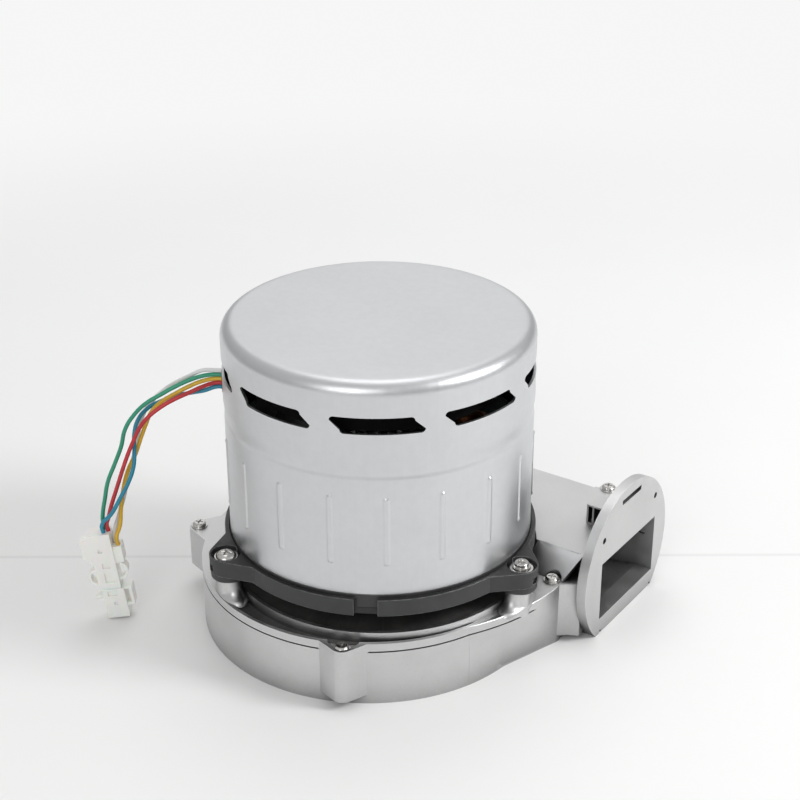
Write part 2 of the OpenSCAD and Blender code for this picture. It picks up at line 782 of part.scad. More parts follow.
module cable_grommet() color(black_rubber) rotate(grommet_angle) difference() {
    neck = wire_r + 0.9;
    lip = neck + 1.2;
    translate([0, 0, lead_z]) rotate([90, 0, 90]) {
        translate([0, 0, can_r - can_t - 2.2]) linear_extrude(1.4) grommet_slot(lip);
        translate([0, 0, can_r - can_t - 2.2]) linear_extrude(can_t + 4.7) grommet_slot(neck);
        translate([0, 0, can_r]) linear_extrude(grommet_face - can_r) grommet_slot(lip);
    }
    at_leads() translate([header_r, 0, 0]) rotate([0, 90, 0]) cylinder(r = wire_r, h = 2 * header_r);
}

// ---------------------------------------------------------------- can

module can_wall() {
    bend = 0.8;
    in = can_r - can_t;
    difference() {
        union() {
            translate([0, shoulder_z + bend]) square([can_r, can_top - can_edge - shoulder_z - bend]);
            translate([0, can_top - can_edge]) square([can_r - can_edge, can_edge]);
            translate([can_r - can_edge, can_top - can_edge]) circle(r = can_edge);
        }
        translate([-1, shoulder_z + bend - 1]) square([in + 1, can_top - can_edge - shoulder_z - bend + 1]);
        translate([-1, can_top - can_edge - 1]) square([can_r - can_edge + 1, can_edge - can_t + 1]);
        translate([can_r - can_edge, can_top - can_edge]) circle(r = can_edge - can_t);
        translate([-2 * can_r, 0]) square([2 * can_r, 2 * can_top]);
    }
    polygon([
        [low_r - can_t, can_z], [low_r, can_z], [low_r, shoulder_z - bend],
        [can_r, shoulder_z + bend], [in, shoulder_z + bend], [low_r - can_t, shoulder_z - bend]]);
}

vent_phase = -57.5;
rib_phase = -52.5;
vent_slant = 2.3;

// The outline of one slanted slot with round corners, drawn in the plane that faces it
module vent_outline() {
    round = 1.6;
    half_w = can_r * sin(vent_angle / 2) - vent_slant - round;
    half_h = vent_h / 2 - round;
    corners = [
        [half_w - vent_slant, half_h], [-half_w - vent_slant, half_h],
        [-half_w + vent_slant, -half_h], [half_w + vent_slant, -half_h]];
    polygon([for (i = [0 : 3]) for (t = [0 : 30 : 90]) corners[i] + polar(round, 90 * i + t)]);
}

module rib_outline() {
    reach = (rib_h - rib_w) / 2;
    translate([-rib_w / 2, -reach]) square([rib_w, 2 * reach]);
    for (s = [-1, 1]) translate([0, s * reach]) circle(r = rib_w / 2);
}

module motor_can() color(drawn_zinc) difference() {
    union() {
        rotate_extrude() can_wall();
        for (i = [0 : rib_count - 1]) rotate(rib_phase + i * 360 / rib_count) translate([0, 0, rib_mid_z])
            rotate([90, 0, 90]) translate([0, 0, low_r - can_t / 2]) linear_extrude(can_t / 2 + 0.9) rib_outline();
    }
    for (i = [0 : vent_count - 1]) rotate(vent_phase + i * 360 / vent_count) translate([0, 0, vent_mid_z])
        rotate([90, 0, 90]) translate([0, 0, can_r - 14]) linear_extrude(20) vent_outline();
    rotate(grommet_angle) translate([0, 0, lead_z]) rotate([90, 0, 90])
        translate([0, 0, can_r - 6]) linear_extrude(12) grommet_slot(wire_r + 0.9);
}

// ---------------------------------------------------------------- lead and connector

lead_out = polar(1, grommet_angle - lead_turn);

// A route: two points that leave the grommet squarely, hand-set points, then two into the plug
// The wires' middle points are set out for this grommet face and lead height, and follow both
route_face = 77.5;
route_z = 125.8;
function lead_route(row, points, x, y, z) = concat(
    [for (d = [0, 3]) [(grommet_face + d) * lead_out[0], (grommet_face + d) * lead_out[1],
        lead_z + row * lead_pitch]],
    [for (p = points) [p[0] + grommet_face - route_face, p[1], p[2] * lead_z / route_z]],
    [for (d = [4, 0]) plug_point(x, y, z + d)]);

function unit(v) = v / norm(v);
function heading(p, i) = unit(p[min(len(p) - 1, i + 1)] - p[max(0, i - 1)]);

// One ring of points round a route, square to it
function wire_ring(p, i) =
    let (h = heading(p, i), a = unit(cross(h, [0, 1, 0])), b = cross(h, a))
    [for (k = [0 : wire_sides - 1])
        p[i] + wire_r * (cos(k * 360 / wire_sides) * a + sin(k * 360 / wire_sides) * b)];

module wire(p) {
    n = wire_sides;
    last = len(p) - 1;
    rotate(lead_turn) polyhedron(
        points = [for (i = [0 : last]) each wire_ring(p, i)],
        faces = concat(
            [[for (k = [0 : n - 1]) k]],
            [for (i = [0 : last - 1]) for (k = [0 : n - 1])
                [i * n + k, (i + 1) * n + k, (i + 1) * n + (k + 1) % n, i * n + (k + 1) % n]],
            [[for (k = [n - 1 : -1 : 0]) last * n + k]]));
}

white_points = [
    [86, -14.5, 130], [93, -15.5, 126.5], [100, -16.5, 122.5], [107, -17, 117.5], [113, -16.5, 111.5],
    [117.5, -16, 104.5], [120, -15, 96.5], [122, -13.5, 88], [124, -11.5, 80], [126.5, -9, 72],
    [128.5, -6, 64], [131, -3, 56]];
green_points = [
    [86, -13.5, 127.5], [93, -12.5, 125.5], [100, -11.5, 122.5], [107, -10, 119], [114, -9, 115],
    [120, -8, 109.5], [125, -6.5, 102], [127.5, -5, 93], [131, -3.5, 84.5], [135, -2, 75],
    [137, -0.5, 66], [138.5, 1, 58]];
yellow_points = [
    [86, -13, 125], [93, -12, 122.5], [100, -11, 119], [107, -10, 115], [112, -9, 110],
    [115, -8.5, 103.5], [118, -8, 96], [121, -7, 88], [125, -5, 80], [127.5, -2.5, 71.5],
    [129, 0.5, 62.5], [130, 3, 53]];
red_points = [
    [86, -12, 122.5], [93, -10, 120], [100, -8, 117.5], [107, -6, 114], [113, -4.5, 109.5],
    [117.5, -3.5, 104], [121, -2.5, 97], [124.5, -1.5, 89], [127.5, -0.5, 81], [130.5, 0.5, 72.5],
    [133.5, 2, 64], [135.5, 3, 57]];
blue_points = [
    [86, -13.5, 119.5], [93, -14, 118], [100, -14, 116.5], [107, -13.5, 114], [114, -12.5, 110.5],
    [119, -11, 105], [121, -8, 98.5], [121, -4.5, 91], [121.5, -1.5, 84], [124, 1.5, 77],
    [128, 4.5, 70], [133, 6, 61.5]];

module wire_white() color([0.90, 0.90, 0.88]) wire(lead_route(2, white_points, -5.4, -1.3, plug_h - shelf_drop));

module wire_green() color([0.10, 0.50, 0.32]) wire(lead_route(1, green_points, -1.2, -1.7, plug_h));

module wire_yellow() color([0.78, 0.66, 0.12]) wire(lead_route(0, yellow_points, -7, 1.6, plug_h - shelf_drop));

module wire_red() color([0.70, 0.10, 0.16]) wire(lead_route(-1, red_points, -3.5, 0.6, plug_h));

module wire_blue() color([0.10, 0.32, 0.45]) wire(lead_route(-2, blue_points, -1.2, 2, plug_h));

module at_plug() {
    rotate(lead_turn) translate(plug_foot) rotate([0, plug_lean, 0]) children();
}

// A bowed latch arm between two heights on one side of the housing
module latch_arm(side, foot, z1, z2) {
    mid = (z1 + z2) / 2;
    bow = (z2 - z1) / 2;
    intersection() {
        translate([foot, 2.5, mid]) rotate([90, 0, 0]) difference() {
            cylinder(r = bow, h = 5);
            translate([0, 0, -1]) cylinder(r = bow - 1.1, h = 7);
        }
        translate([side > 0 ? foot : foot - bow, -3, z1]) cube([bow, 6, z2 - z1]);
    }
}

plug_split = 17;

// The upper half of the mated pair, with the wires' cells and the two latch arms
module plug_housing() color(nylon) at_plug() difference() {
    union() {
        translate([-4.2, -4.6, 33]) cube([12.8, 9.2, plug_h - 33]);
        translate([8, -3.4, 35]) cube([3.8, 6.8, 10.5]);
        translate([-8.6, -3.6, 32]) cube([5, 7.4, plug_h - shelf_drop - 32]);
        translate([-4, -3.8, plug_split]) cube([11, 7.6, 17]);
        latch_arm(1, 6.6, 19, 28.5);
        latch_arm(-1, -3.6, 21, 32);
    }
    translate([1.2, 3.6, 38.6]) cube([2, 2, 2]);
    translate([-1, 3, 29]) cube([4, 2, 3]);
    translate([-1.6, 3, 20.5]) cube([4.6, 2, 6]);
}

// The lower half, with its two finger ears
module socket_housing() color(nylon) at_plug() difference() {
    union() {
        translate([-5.4, -4.6, 0]) cube([11.4, 9.2, plug_split]);
        translate([5.5, -3.2, 11.4]) cube([4.5, 6.4, 1.8]);
        translate([-9.2, -3.4, 6]) cube([4, 6.8, 1.6]);
        translate([-9.2, -3.4, 6]) cube([1.6, 6.8, 11]);
        translate([-9.2, -3.4, 15.6]) cube([4, 6.8, 1.4]);
    }
    translate([-0.8, 3.6, 7.6]) cube([1.8, 2, 1.8]);
    translate([-1.4, 3.8, 13]) cube([4.6, 2, 3]);
    for (x = [-3.4, 0.6]) translate([x, -2.6, -1]) cube([3.2, 5.2, 8]);
}

// ---------------------------------------------------------------- rotor

module shaft() color(bright_steel) {
    translate([0, 0, hub_bottom]) cylinder(r = shaft_r, h = shaft_top - hub_bottom);
    translate([0, 0, hub_bottom - 8]) cylinder(r = stud_r, h = 8 + eps);
}

rotor_over = 1;
magnet_t = 3;

module rotor_core() color(lamination) translate([0, 0, stator_z - rotor_over]) difference() {
    cylinder(r = rotor_r - magnet_t, h = stack_h + 2 * rotor_over);
    translate([0, 0, -1]) cylinder(r = shaft_r, h = 2 * stack_h);
    for (i = [0 : 5]) rotate(60 * i) translate([rotor_r / 2, 0, -1]) cylinder(r = 3.2, h = 2 * stack_h);
}

module rotor_magnets() color([0.16, 0.16, 0.17]) for (i = [0 : 7]) rotate(45 * i + 0.5)
    translate([0, 0, stator_z - rotor_over]) rotate_extrude(angle = 44)
        translate([rotor_r - magnet_t, 0]) square([magnet_t, stack_h + 2 * rotor_over]);

module cooling_fan() color(black_rubber) translate([0, 0, fan_z]) difference() {
    band = 1.6;
    union() {
        difference() {
            cylinder(r = fan_r, h = fan_h);
            translate([0, 0, -1]) cylinder(r = fan_r - band, h = fan_h + 2);
        }
        cylinder(r = fan_hub_r, h = fan_h);
        for (i = [0 : fan_blades - 1]) rotate(i * 360 / fan_blades) translate([fan_hub_r - 1, 0, fan_h / 2])
            rotate([32, 0, 0]) translate([0, -0.7, -fan_h / 2]) cube([fan_r - fan_hub_r, 1.4, fan_h]);
    }
    translate([0, 0, -1]) cylinder(r = shaft_r, h = fan_h + 2);
}

module fan_clip() color(bright_steel) translate([0, 0, fan_z + fan_h]) difference() {
    cylinder(r = shaft_r + 3.5, h = 1);
    translate([0, 0, -1]) cylinder(r = shaft_r, h = 3);
}

module at_rivets() {
    for (i = [0 : 3]) rotate(90 * i) translate([rivet_circle, 0, 0]) children();
}

module impeller_hub() color(cast_alu) difference() {
    union() {
        translate([0, 0, hub_bottom]) cylinder(r = impeller_hub_r, h = hub_top - hub_bottom);
        translate([0, 0, backplate_z + backplate_t]) cylinder(r = hub_flange_r, h = hub_flange_t);
    }
    translate([0, 0, hub_bottom - 1]) cylinder(r = shaft_r, h = 2 * hub_top);
    at_rivets() translate([0, 0, backplate_z]) cylinder(r = rivet_r, h = hub_top);
}

module impeller_backplate() color(cast_alu) difference() {
    translate([0, 0, backplate_z]) cylinder(r = impeller_r, h = backplate_t);
    translate([0, 0, backplate_z - 1]) cylinder(r = impeller_hub_r, h = backplate_t + 2);
    at_rivets() translate([0, 0, backplate_z - 1]) cylinder(r = rivet_r, h = backplate_t + 2);
}

module impeller_shroud() color(cast_alu) translate([0, 0, blade_z - shroud_t]) difference() {
    cylinder(r = impeller_r, h = shroud_t);
    translate([0, 0, -1]) cylinder(r = eye_r, h = shroud_t + 2);
}

// A backward-curved blade: part of a round sheet whose centre is off the shaft axis
module blade_outline() {
    bend = 46;
    intersection() {
        translate([bend * 0.72, -bend * 0.72]) difference() {
            circle(r = bend);
            circle(r = bend - blade_t);
        }
        difference() {
            circle(r = impeller_r - 0.6);
            circle(r = eye_r + 1);
        }
        translate([0, -5]) square(2 * impeller_r);
    }
}

module impeller_blades() color(cast_alu) for (i = [0 : blade_count - 1])
    rotate(i * 360 / blade_count) translate([0, 0, blade_z]) linear_extrude(blade_h) blade_outline();

module hub_rivets() color(bright_steel) at_rivets() {
    grip = backplate_t + hub_flange_t;
    translate([0, 0, backplate_z - rivet_head]) cylinder(r = 2 * rivet_r - 0.4, h = rivet_head);
    translate([0, 0, backplate_z - eps]) cylinder(r = rivet_r, h = grip + 2 * eps);
    translate([0, 0, backplate_z + grip]) cylinder(r = 2 * rivet_r - 0.4, h = rivet_head);
}

washer_h = 1.4;
nut_h = 5;

module impeller_washer() color(bright_steel) translate([0, 0, hub_bottom - washer_h]) difference() {
    cylinder(r = 6.5, h = washer_h);
    translate([0, 0, -1]) cylinder(r = stud_r, h = washer_h + 2);
}

module impeller_nut() color(bright_steel) translate([0, 0, hub_bottom - washer_h - nut_h]) difference() {
    cylinder(r = 5.8, h = nut_h, $fn = 6);
    translate([0, 0, -1]) cylinder(r = stud_r, h = nut_h + 2);
}

// ---------------------------------------------------------------- assembly

volute_base();
volute_cover();
cover_gasket();
cover_screws();
inlet_nozzle();
motor_plate();
shaft_seal();
mount_ring();
rubber_isolators();
spacer_sleeves();
lug_washers();
lug_screws();
motor_frame();
lower_bearing();
bearing_circlip();
stator_core();
stator_insulators();
stator_coils();
upper_bracket();
bracket_screws();
upper_bearing();
wave_washer();
circuit_board();
board_screws();
board_capacitors();
board_choke();
heat_sink();
power_transistors();
board_header();
inner_leads();
cable_grommet();
motor_can();
wire_white();
wire_green();
wire_yellow();
wire_red();
wire_blue();
plug_housing();
socket_housing();
shaft();
rotor_core();
rotor_magnets();
cooling_fan();
fan_clip();
impeller_hub();
impeller_backplate();
impeller_blades();
impeller_shroud();
hub_rivets();
impeller_washer();
impeller_nut();
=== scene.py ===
"""Looks for the direct-current blower fan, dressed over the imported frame. Metres, Z up, shaft on Z."""
import json
import math

import bmesh
import bpy
from mathutils import Matrix, Vector


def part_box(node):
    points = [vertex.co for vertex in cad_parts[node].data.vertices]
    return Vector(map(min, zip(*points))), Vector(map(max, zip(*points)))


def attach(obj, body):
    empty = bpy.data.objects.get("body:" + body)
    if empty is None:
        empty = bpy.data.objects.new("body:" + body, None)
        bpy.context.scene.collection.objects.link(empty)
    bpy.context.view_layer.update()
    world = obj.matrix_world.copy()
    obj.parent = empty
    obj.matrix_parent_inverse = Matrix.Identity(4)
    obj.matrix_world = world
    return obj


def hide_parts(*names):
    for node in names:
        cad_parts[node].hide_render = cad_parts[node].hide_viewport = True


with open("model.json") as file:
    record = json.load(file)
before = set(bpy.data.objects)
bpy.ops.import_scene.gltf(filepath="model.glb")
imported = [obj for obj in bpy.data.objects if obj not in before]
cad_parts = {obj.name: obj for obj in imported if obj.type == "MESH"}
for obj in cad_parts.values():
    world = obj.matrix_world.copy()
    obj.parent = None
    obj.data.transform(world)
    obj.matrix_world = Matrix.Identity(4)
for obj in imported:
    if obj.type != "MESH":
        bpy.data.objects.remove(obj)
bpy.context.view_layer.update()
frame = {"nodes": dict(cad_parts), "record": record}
NODES = frame["nodes"]
MM = 0.001

# ---------------------------------------------------------------- camera

CAMERA_PLACE = Vector((0.4147, -0.5836, 0.4750))
CAMERA_HEADING = 34.6
CAMERA_PITCH = 26.356
# The roll is in radians, the other turns in degrees
CAMERA_ROLL = -0.003
LENS = 74.42
SENSOR = 36.0


def turned(axis, degrees):
    """A turn about one axis, as a matrix."""
    return Matrix.Rotation(math.radians(degrees), 4, axis)


def make_camera():
    """The camera that the scene is seen through."""
    data = bpy.data.cameras.new("studio_camera")
    data.lens = LENS
    data.sensor_width = SENSOR
    data.clip_start = 0.02
    data.clip_end = 20
    camera = bpy.data.objects.new("studio_camera", data)
    bpy.context.scene.collection.objects.link(camera)
    camera.matrix_world = (
        Matrix.Translation(CAMERA_PLACE)
        @ turned("Z", CAMERA_HEADING)
        @ turned("X", 90 - CAMERA_PITCH)
        @ Matrix.Rotation(CAMERA_ROLL, 4, "Z")
    )
    bpy.context.scene.camera = camera


make_camera()

# ---------------------------------------------------------------- shader building


class Sheet:
    """A node tree, with short ways to place its nodes and join them."""

    def __init__(self, tree):
        self.tree = tree

    def put(self, kind, inputs=None, **settings):
        """Adds a node, with its settings and what feeds its inputs."""
        node = self.tree.nodes.new("ShaderNode" + kind)
        for name, value in settings.items():
            setattr(node, name, value)
        for key, value in (inputs or {}).items():
            self.feed(node.inputs[key], value)
        return node

    def feed(self, socket, value):
        """Links a socket to another one, or sets its value."""
        if isinstance(value, bpy.types.NodeSocket):
            self.tree.links.new(value, socket)
        elif isinstance(value, (tuple, list)) and socket.type == "RGBA" and len(value) == 3:
            socket.default_value = (*value, 1)
        else:
            socket.default_value = value

    def sum(self, operation, a, b=None, c=None, clamp=False):
        """The result of a Math node."""
        inputs = {0: a}
        if b is not None:
            inputs[1] = b
        if c is not None:
            inputs[2] = c
        return self.put("Math", inputs, operation=operation, use_clamp=clamp).outputs[0]

    def blend(self, factor, a, b, way="MIX"):
        """Colour a turned into colour b by a factor."""
        node = self.put("Mix", {0: factor, 6: a, 7: b}, data_type="RGBA", blend_type=way)
        return node.outputs[2]

    def span(self, value, low, high, to_low=0.0, to_high=1.0, smooth=True):
        """A value taken from one range to another."""
        node = self.put(
            "MapRange",
            {"Value": value, "From Min": low, "From Max": high, "To Min": to_low, "To Max": to_high},
            interpolation_type="SMOOTHSTEP" if smooth else "LINEAR",
        )
        return node.outputs["Result"]

    def noise(self, place, scale, detail=2.0, rough=0.5, dimensions="3D"):
        """Noise at a place, about 0 to 1."""
        inputs = {"Scale": scale, "Detail": detail, "Roughness": rough}
        inputs["W" if dimensions == "1D" else "Vector"] = place
        return self.put("TexNoise", inputs, noise_dimensions=dimensions).outputs["Fac"]

    def place(self):
        """The place on the object, in the object's own metres."""
        return self.put("TexCoord").outputs["Object"]

    def parts(self, vector):
        """The x, y and z of a vector."""
        return self.put("SeparateXYZ", {0: vector}).outputs

    def vector(self, x, y, z):
        """A vector from its three parts."""
        return self.put("CombineXYZ", {0: x, 1: y, 2: z}).outputs[0]


def effect(name, inputs, outputs):
    """An empty node group with its sockets: (name, default) pairs in, (name, kind) pairs out."""
    tree = bpy.data.node_groups.new(name, "ShaderNodeTree")
    kinds = {float: "NodeSocketFloat", tuple: "NodeSocketColor"}
    for title, value in inputs:
        made = tree.interface.new_socket(title, in_out="INPUT", socket_type=kinds[type(value)])
        made.default_value = (*value, 1) if isinstance(value, tuple) else value
    for title, kind in outputs:
        tree.interface.new_socket(title, in_out="OUTPUT", socket_type="NodeSocket" + kind)
    ends = tree.nodes.new("NodeGroupInput").outputs, tree.nodes.new("NodeGroupOutput").inputs
    return Sheet(tree), *ends


def make_tone_drift():
    """Slow patches of one tone in another, as handling and plating leave them."""
    s, given, out = effect(
        "tone_drift",
        [("Tone", (0.5, 0.5, 0.5)), ("Patch Tone", (0.6, 0.6, 0.6)), ("Patch Size", 0.02), ("Cover", 0.5)],
        [("Color", "Color"), ("Mask", "Float")],
    )
    scale = s.sum("DIVIDE", 1.0, given["Patch Size"])
    cloud = s.noise(s.place(), scale, detail=4.0, rough=0.55)
    edge = s.sum("SUBTRACT", 1.0, given["Cover"])
    mask = s.span(cloud, s.sum("SUBTRACT", edge, 0.22), s.sum("ADD", edge, 0.22))
    s.feed(out["Mask"], mask)
    s.feed(out["Color"], s.blend(mask, given["Tone"], given["Patch Tone"]))
    return s.tree


def make_cast_grain():
    """The fine skin of a blasted casting: a height, and a mask of its pits."""
    s, given, out = effect(
        "cast_grain",
        [("Grain Size", 0.0006), ("Pit Share", 0.2)],
        [("Height", "Float"), ("Pits", "Float")],
    )
    scale = s.sum("DIVIDE", 1.0, given["Grain Size"])
    place = s.place()
    fine = s.noise(place, scale, detail=3.0, rough=0.6)
    cells = s.put("TexVoronoi", {"Vector": place, "Scale": s.sum("MULTIPLY", scale, 0.6)}).outputs["Distance"]
    pits = s.span(cells, s.sum("MULTIPLY", given["Pit Share"], 0.6), given["Pit Share"], 1.0, 0.0)
    s.feed(out["Pits"], pits)
    s.feed(out["Height"], s.sum("SUBTRACT", fine, s.sum("MULTIPLY", pits, 0.35)))
    return s.tree


def make_edge_wear_and_highlight():
    """A mask of the sharp edges, broken up as rubbing breaks up a finish; it lightens rubbed edges, and on
    the dark coat it is partly a painted highlight.
    """
    s, given, out = effect(
        "edge_wear_and_highlight",
        [("Width", 0.0006), ("Amount", 0.6)],
        [("Mask", "Float")],
    )
    rounded = s.put("Bevel", {"Radius": given["Width"]}, samples=4).outputs["Normal"]
    flat = s.put("NewGeometry").outputs["Normal"]
    turn = s.put("VectorMath", {0: rounded, 1: flat}, operation="DOT_PRODUCT").outputs["Value"]
    edge = s.span(turn, 0.985, 0.86, 0.0, 1.0)
    broken = s.span(s.noise(s.place(), 420.0, detail=3.0), 0.34, 0.62, 0.25, 1.0)
    s.feed(out["Mask"], s.sum("MULTIPLY", s.sum("MULTIPLY", edge, broken), given["Amount"], clamp=True))
    return s.tree


def make_draw_streaks():
    """Streaks that run up a drawn or rolled wall around the shaft axis."""
    s, given, out = effect(
        "draw_streaks",
        [("Streaks", 60.0), ("Length", 0.06)],
        [("Mask", "Float")],
    )
    x, y, z = s.parts(s.place())
    squares = s.sum("ADD", s.sum("MULTIPLY", x, x), s.sum("MULTIPLY", y, y))
    radius = s.sum("MAXIMUM", s.sum("SQRT", squares), 0.001)
    round_x = s.sum("MULTIPLY", s.sum("DIVIDE", x, radius), given["Streaks"])
    round_y = s.sum("MULTIPLY", s.sum("DIVIDE", y, radius), given["Streaks"])
    rise = s.sum("DIVIDE", z, given["Length"])
    s.feed(out["Mask"], s.noise(s.vector(round_x, round_y, rise), 1.0, detail=3.0, rough=0.6))
    return s.tree


def make_turned_lines():
    """Fine rings that a lathe leaves round an axis, from a distance to that axis."""
    s, given, out = effect(
        "turned_lines",
        [("Distance", 0.0), ("Pitch", 0.0004)],
        [("Mask", "Float")],
    )
    turns = s.sum("DIVIDE", given["Distance"], given["Pitch"])
    rings = s.noise(turns, 1.0, detail=2.0, rough=0.7, dimensions="1D")
    s.feed(out["Mask"], rings)
    return s.tree


def make_settled_dust():
    """A thin film of dust on what faces up."""
    s, given, out = effect("settled_dust", [("Amount", 0.1)], [("Mask", "Float")])
    up = s.parts(s.put("NewGeometry").outputs["Normal"])[2]
    facing = s.span(up, 0.55, 0.98)
    patchy = s.span(s.noise(s.place(), 90.0, detail=5.0, rough=0.65), 0.35, 0.7, 0.3, 1.0)
    s.feed(out["Mask"], s.sum("MULTIPLY", s.sum("MULTIPLY", facing, patchy), given["Amount"], clamp=True))
    return s.tree


def make_recess_shade():
    """A mask of corners and hollows, for painted shade where little light gets in."""
    s, given, out = effect("recess_shade", [("Reach", 0.02), ("Amount", 0.6)], [("Mask", "Float")])
    open_share = s.put("AmbientOcclusion", {"Distance": given["Reach"]}, samples=6).outputs["AO"]
    hollow = s.span(open_share, 0.15, 0.75, 1.0, 0.0)
    s.feed(out["Mask"], s.sum("MULTIPLY", hollow, given["Amount"], clamp=True))
    return s.tree


EFFECTS = {
    tree.name: tree
    for tree in (
        make_recess_shade(),
        make_tone_drift(),
        make_cast_grain(),
        make_edge_wear_and_highlight(),
        make_draw_streaks(),
        make_turned_lines(),
        make_settled_dust(),
    )
}


class Finish(Sheet):
    """A material with its own Principled shader, whose sockets are set or fed by effects."""

    def __init__(self, name, **sockets):
        self.material = bpy.data.materials.new(name)
        self.material.use_nodes = True
        super().__init__(self.material.node_tree)
        self.shader = self.tree.nodes["Principled BSDF"]
        self.set(**sockets)

    def set(self, **sockets):
        """Sets or feeds the shader's sockets by name."""
        for key, value in sockets.items():
            self.feed(self.shader.inputs[key.replace("_", " ").title()], value)
        return self

    def use(self, name, **inputs):
        """Places an effect with its own values, and gives its outputs."""
        node = self.put("Group", node_tree=EFFECTS[name])
        for key, value in inputs.items():
            self.feed(node.inputs[key.replace("_", " ").title()], value)
        return node.outputs

    def raised(self, *heights):
        """Normals from (height, depth in metres) pairs, one over the other."""
        normal = None
        for height, depth in heights:
            bump = self.put("Bump", {"Height": height, "Distance": depth, "Strength": 1.0})
            if normal is not None:
                self.feed(bump.inputs["Normal"], normal)
            normal = bump.outputs["Normal"]
        self.feed(self.shader.inputs["Normal"], normal)
        return self


def lift(colour, by):
    """A colour made lighter or darker by a factor."""
    return tuple(min(1.0, c * by) for c in colour)


# ---------------------------------------------------------------- finishes


def cast_metal(name, tone, rough=0.42, grain=0.0007, depth=0.00002, wear=0.5):
    """Die-cast aluminium: a blasted skin, slow drifts of tone, rubbed edges and painted shade darkening its
    recesses.
    """
    f = Finish(name, metallic=1.0, roughness=rough)
    drift = f.use("tone_drift", tone=tone, patch_tone=lift(tone, 1.12), patch_size=0.022, cover=0.5)
    skin = f.use("cast_grain", grain_size=grain, pit_share=0.22)
    edge = f.use("edge_wear_and_highlight", width=0.0007, amount=wear)["Mask"]
    dust = f.use("settled_dust", amount=0.10)["Mask"]
    colour = f.blend(f.sum("MULTIPLY", skin["Pits"], 0.22), drift["Color"], lift(tone, 0.62))
    colour = f.blend(edge, colour, (0.88, 0.88, 0.89))
    colour = f.blend(dust, colour, (0.62, 0.61, 0.59))
    # Painted shade: corners and hollows are darkened almost to black.
    colour = f.blend(f.use("recess_shade", reach=0.03, amount=0.85)["Mask"], colour, (0.03, 0.03, 0.031))
    uneven = f.span(drift["Mask"], 0.0, 1.0, rough - 0.05, rough + 0.07)
    uneven = f.sum("SUBTRACT", uneven, f.sum("MULTIPLY", edge, 0.12))
    f.set(base_color=colour, roughness=f.sum("ADD", uneven, f.sum("MULTIPLY", dust, 0.8)))
    f.raised((skin["Height"], depth))
    return f.material


def can_sheet():
    """Zinc-coated deep-drawn sheet: satin, with draw streaks on the wall and faint rings on the top."""
    tone = (0.635, 0.645, 0.66)
    f = Finish("drawn_zinc_sheet", metallic=1.0)
    drift = f.use("tone_drift", tone=tone, patch_tone=(0.655, 0.665, 0.68), patch_size=0.035, cover=0.5)
    mottle = f.use(
        "tone_drift", tone=(0.975, 0.975, 0.975), patch_tone=(1.0, 1.0, 1.0), patch_size=0.004, cover=0.5
    )
    x, y = f.parts(f.place())[:2]
    distance = f.sum("SQRT", f.sum("ADD", f.sum("MULTIPLY", x, x), f.sum("MULTIPLY", y, y)))
    up = f.span(f.parts(f.put("NewGeometry").outputs["Normal"])[2], 0.6, 0.95)
    streaks = f.use("draw_streaks", streaks=46.0, length=0.05)["Mask"]
    rings = f.use("turned_lines", distance=distance, pitch=0.0011)["Mask"]
    marks = f.blend(up, streaks, rings)
    colour = f.blend(1.0, drift["Color"], mottle["Color"], "MULTIPLY")
    colour = f.blend(f.span(marks, 0.3, 0.75, 0.0, 0.08), colour, (0.80, 0.805, 0.81))
    edge = f.use("edge_wear_and_highlight", width=0.0006, amount=0.35)["Mask"]
    colour = f.blend(edge, colour, (0.9, 0.9, 0.9))
    dust = f.use("settled_dust", amount=0.05)["Mask"]
    colour = f.blend(dust, colour, (0.66, 0.66, 0.66))
    rough = f.span(marks, 0.25, 0.75, 0.33, 0.39)
    rough = f.sum("ADD", rough, f.span(mottle["Mask"], 0.0, 1.0, 0.02, 0.0))
    f.set(base_color=colour, roughness=f.sum("ADD", rough, f.sum("MULTIPLY", dust, 0.9)))
    skin = f.use("cast_grain", grain_size=0.0009, pit_share=0.1)
    f.raised((skin["Height"], 0.000006), (marks, 0.000005))
    return f.material


def dark_coat(name, tone, rough, wear=0.3, grain=0.0006, metallic=0.0):
    """A dark sprayed or moulded skin: lighter edges, partly rubbed wear and partly a painted highlight, and
    upward faces darkened as painted shade.
    """
    f = Finish(name, metallic=metallic, roughness=rough)
    drift = f.use("tone_drift", tone=tone, patch_tone=lift(tone, 1.45), patch_size=0.009, cover=0.45)
    skin = f.use("cast_grain", grain_size=grain, pit_share=0.25)
    edge = f.use("edge_wear_and_highlight", width=0.0006, amount=wear)["Mask"]
    dust = f.use("settled_dust", amount=0.02)["Mask"]
    # Painted shade: upward faces are darkened towards a third of the tone.
    up = f.span(f.parts(f.put("NewGeometry").outputs["Normal"])[2], 0.7, 0.95)
    colour = f.blend(f.sum("MULTIPLY", up, 0.8), drift["Color"], lift(tone, 0.3))
    # Lighter edges: partly rubbed wear, partly a painted highlight along the edges.
    colour = f.blend(edge, colour, (0.42, 0.42, 0.43))
    colour = f.blend(dust, colour, (0.35, 0.34, 0.33))
    f.set(base_color=colour, roughness=f.span(drift["Mask"], 0.0, 1.0, rough - 0.06, rough + 0.08))
    f.raised((skin["Height"], 0.00003))
    return f.material


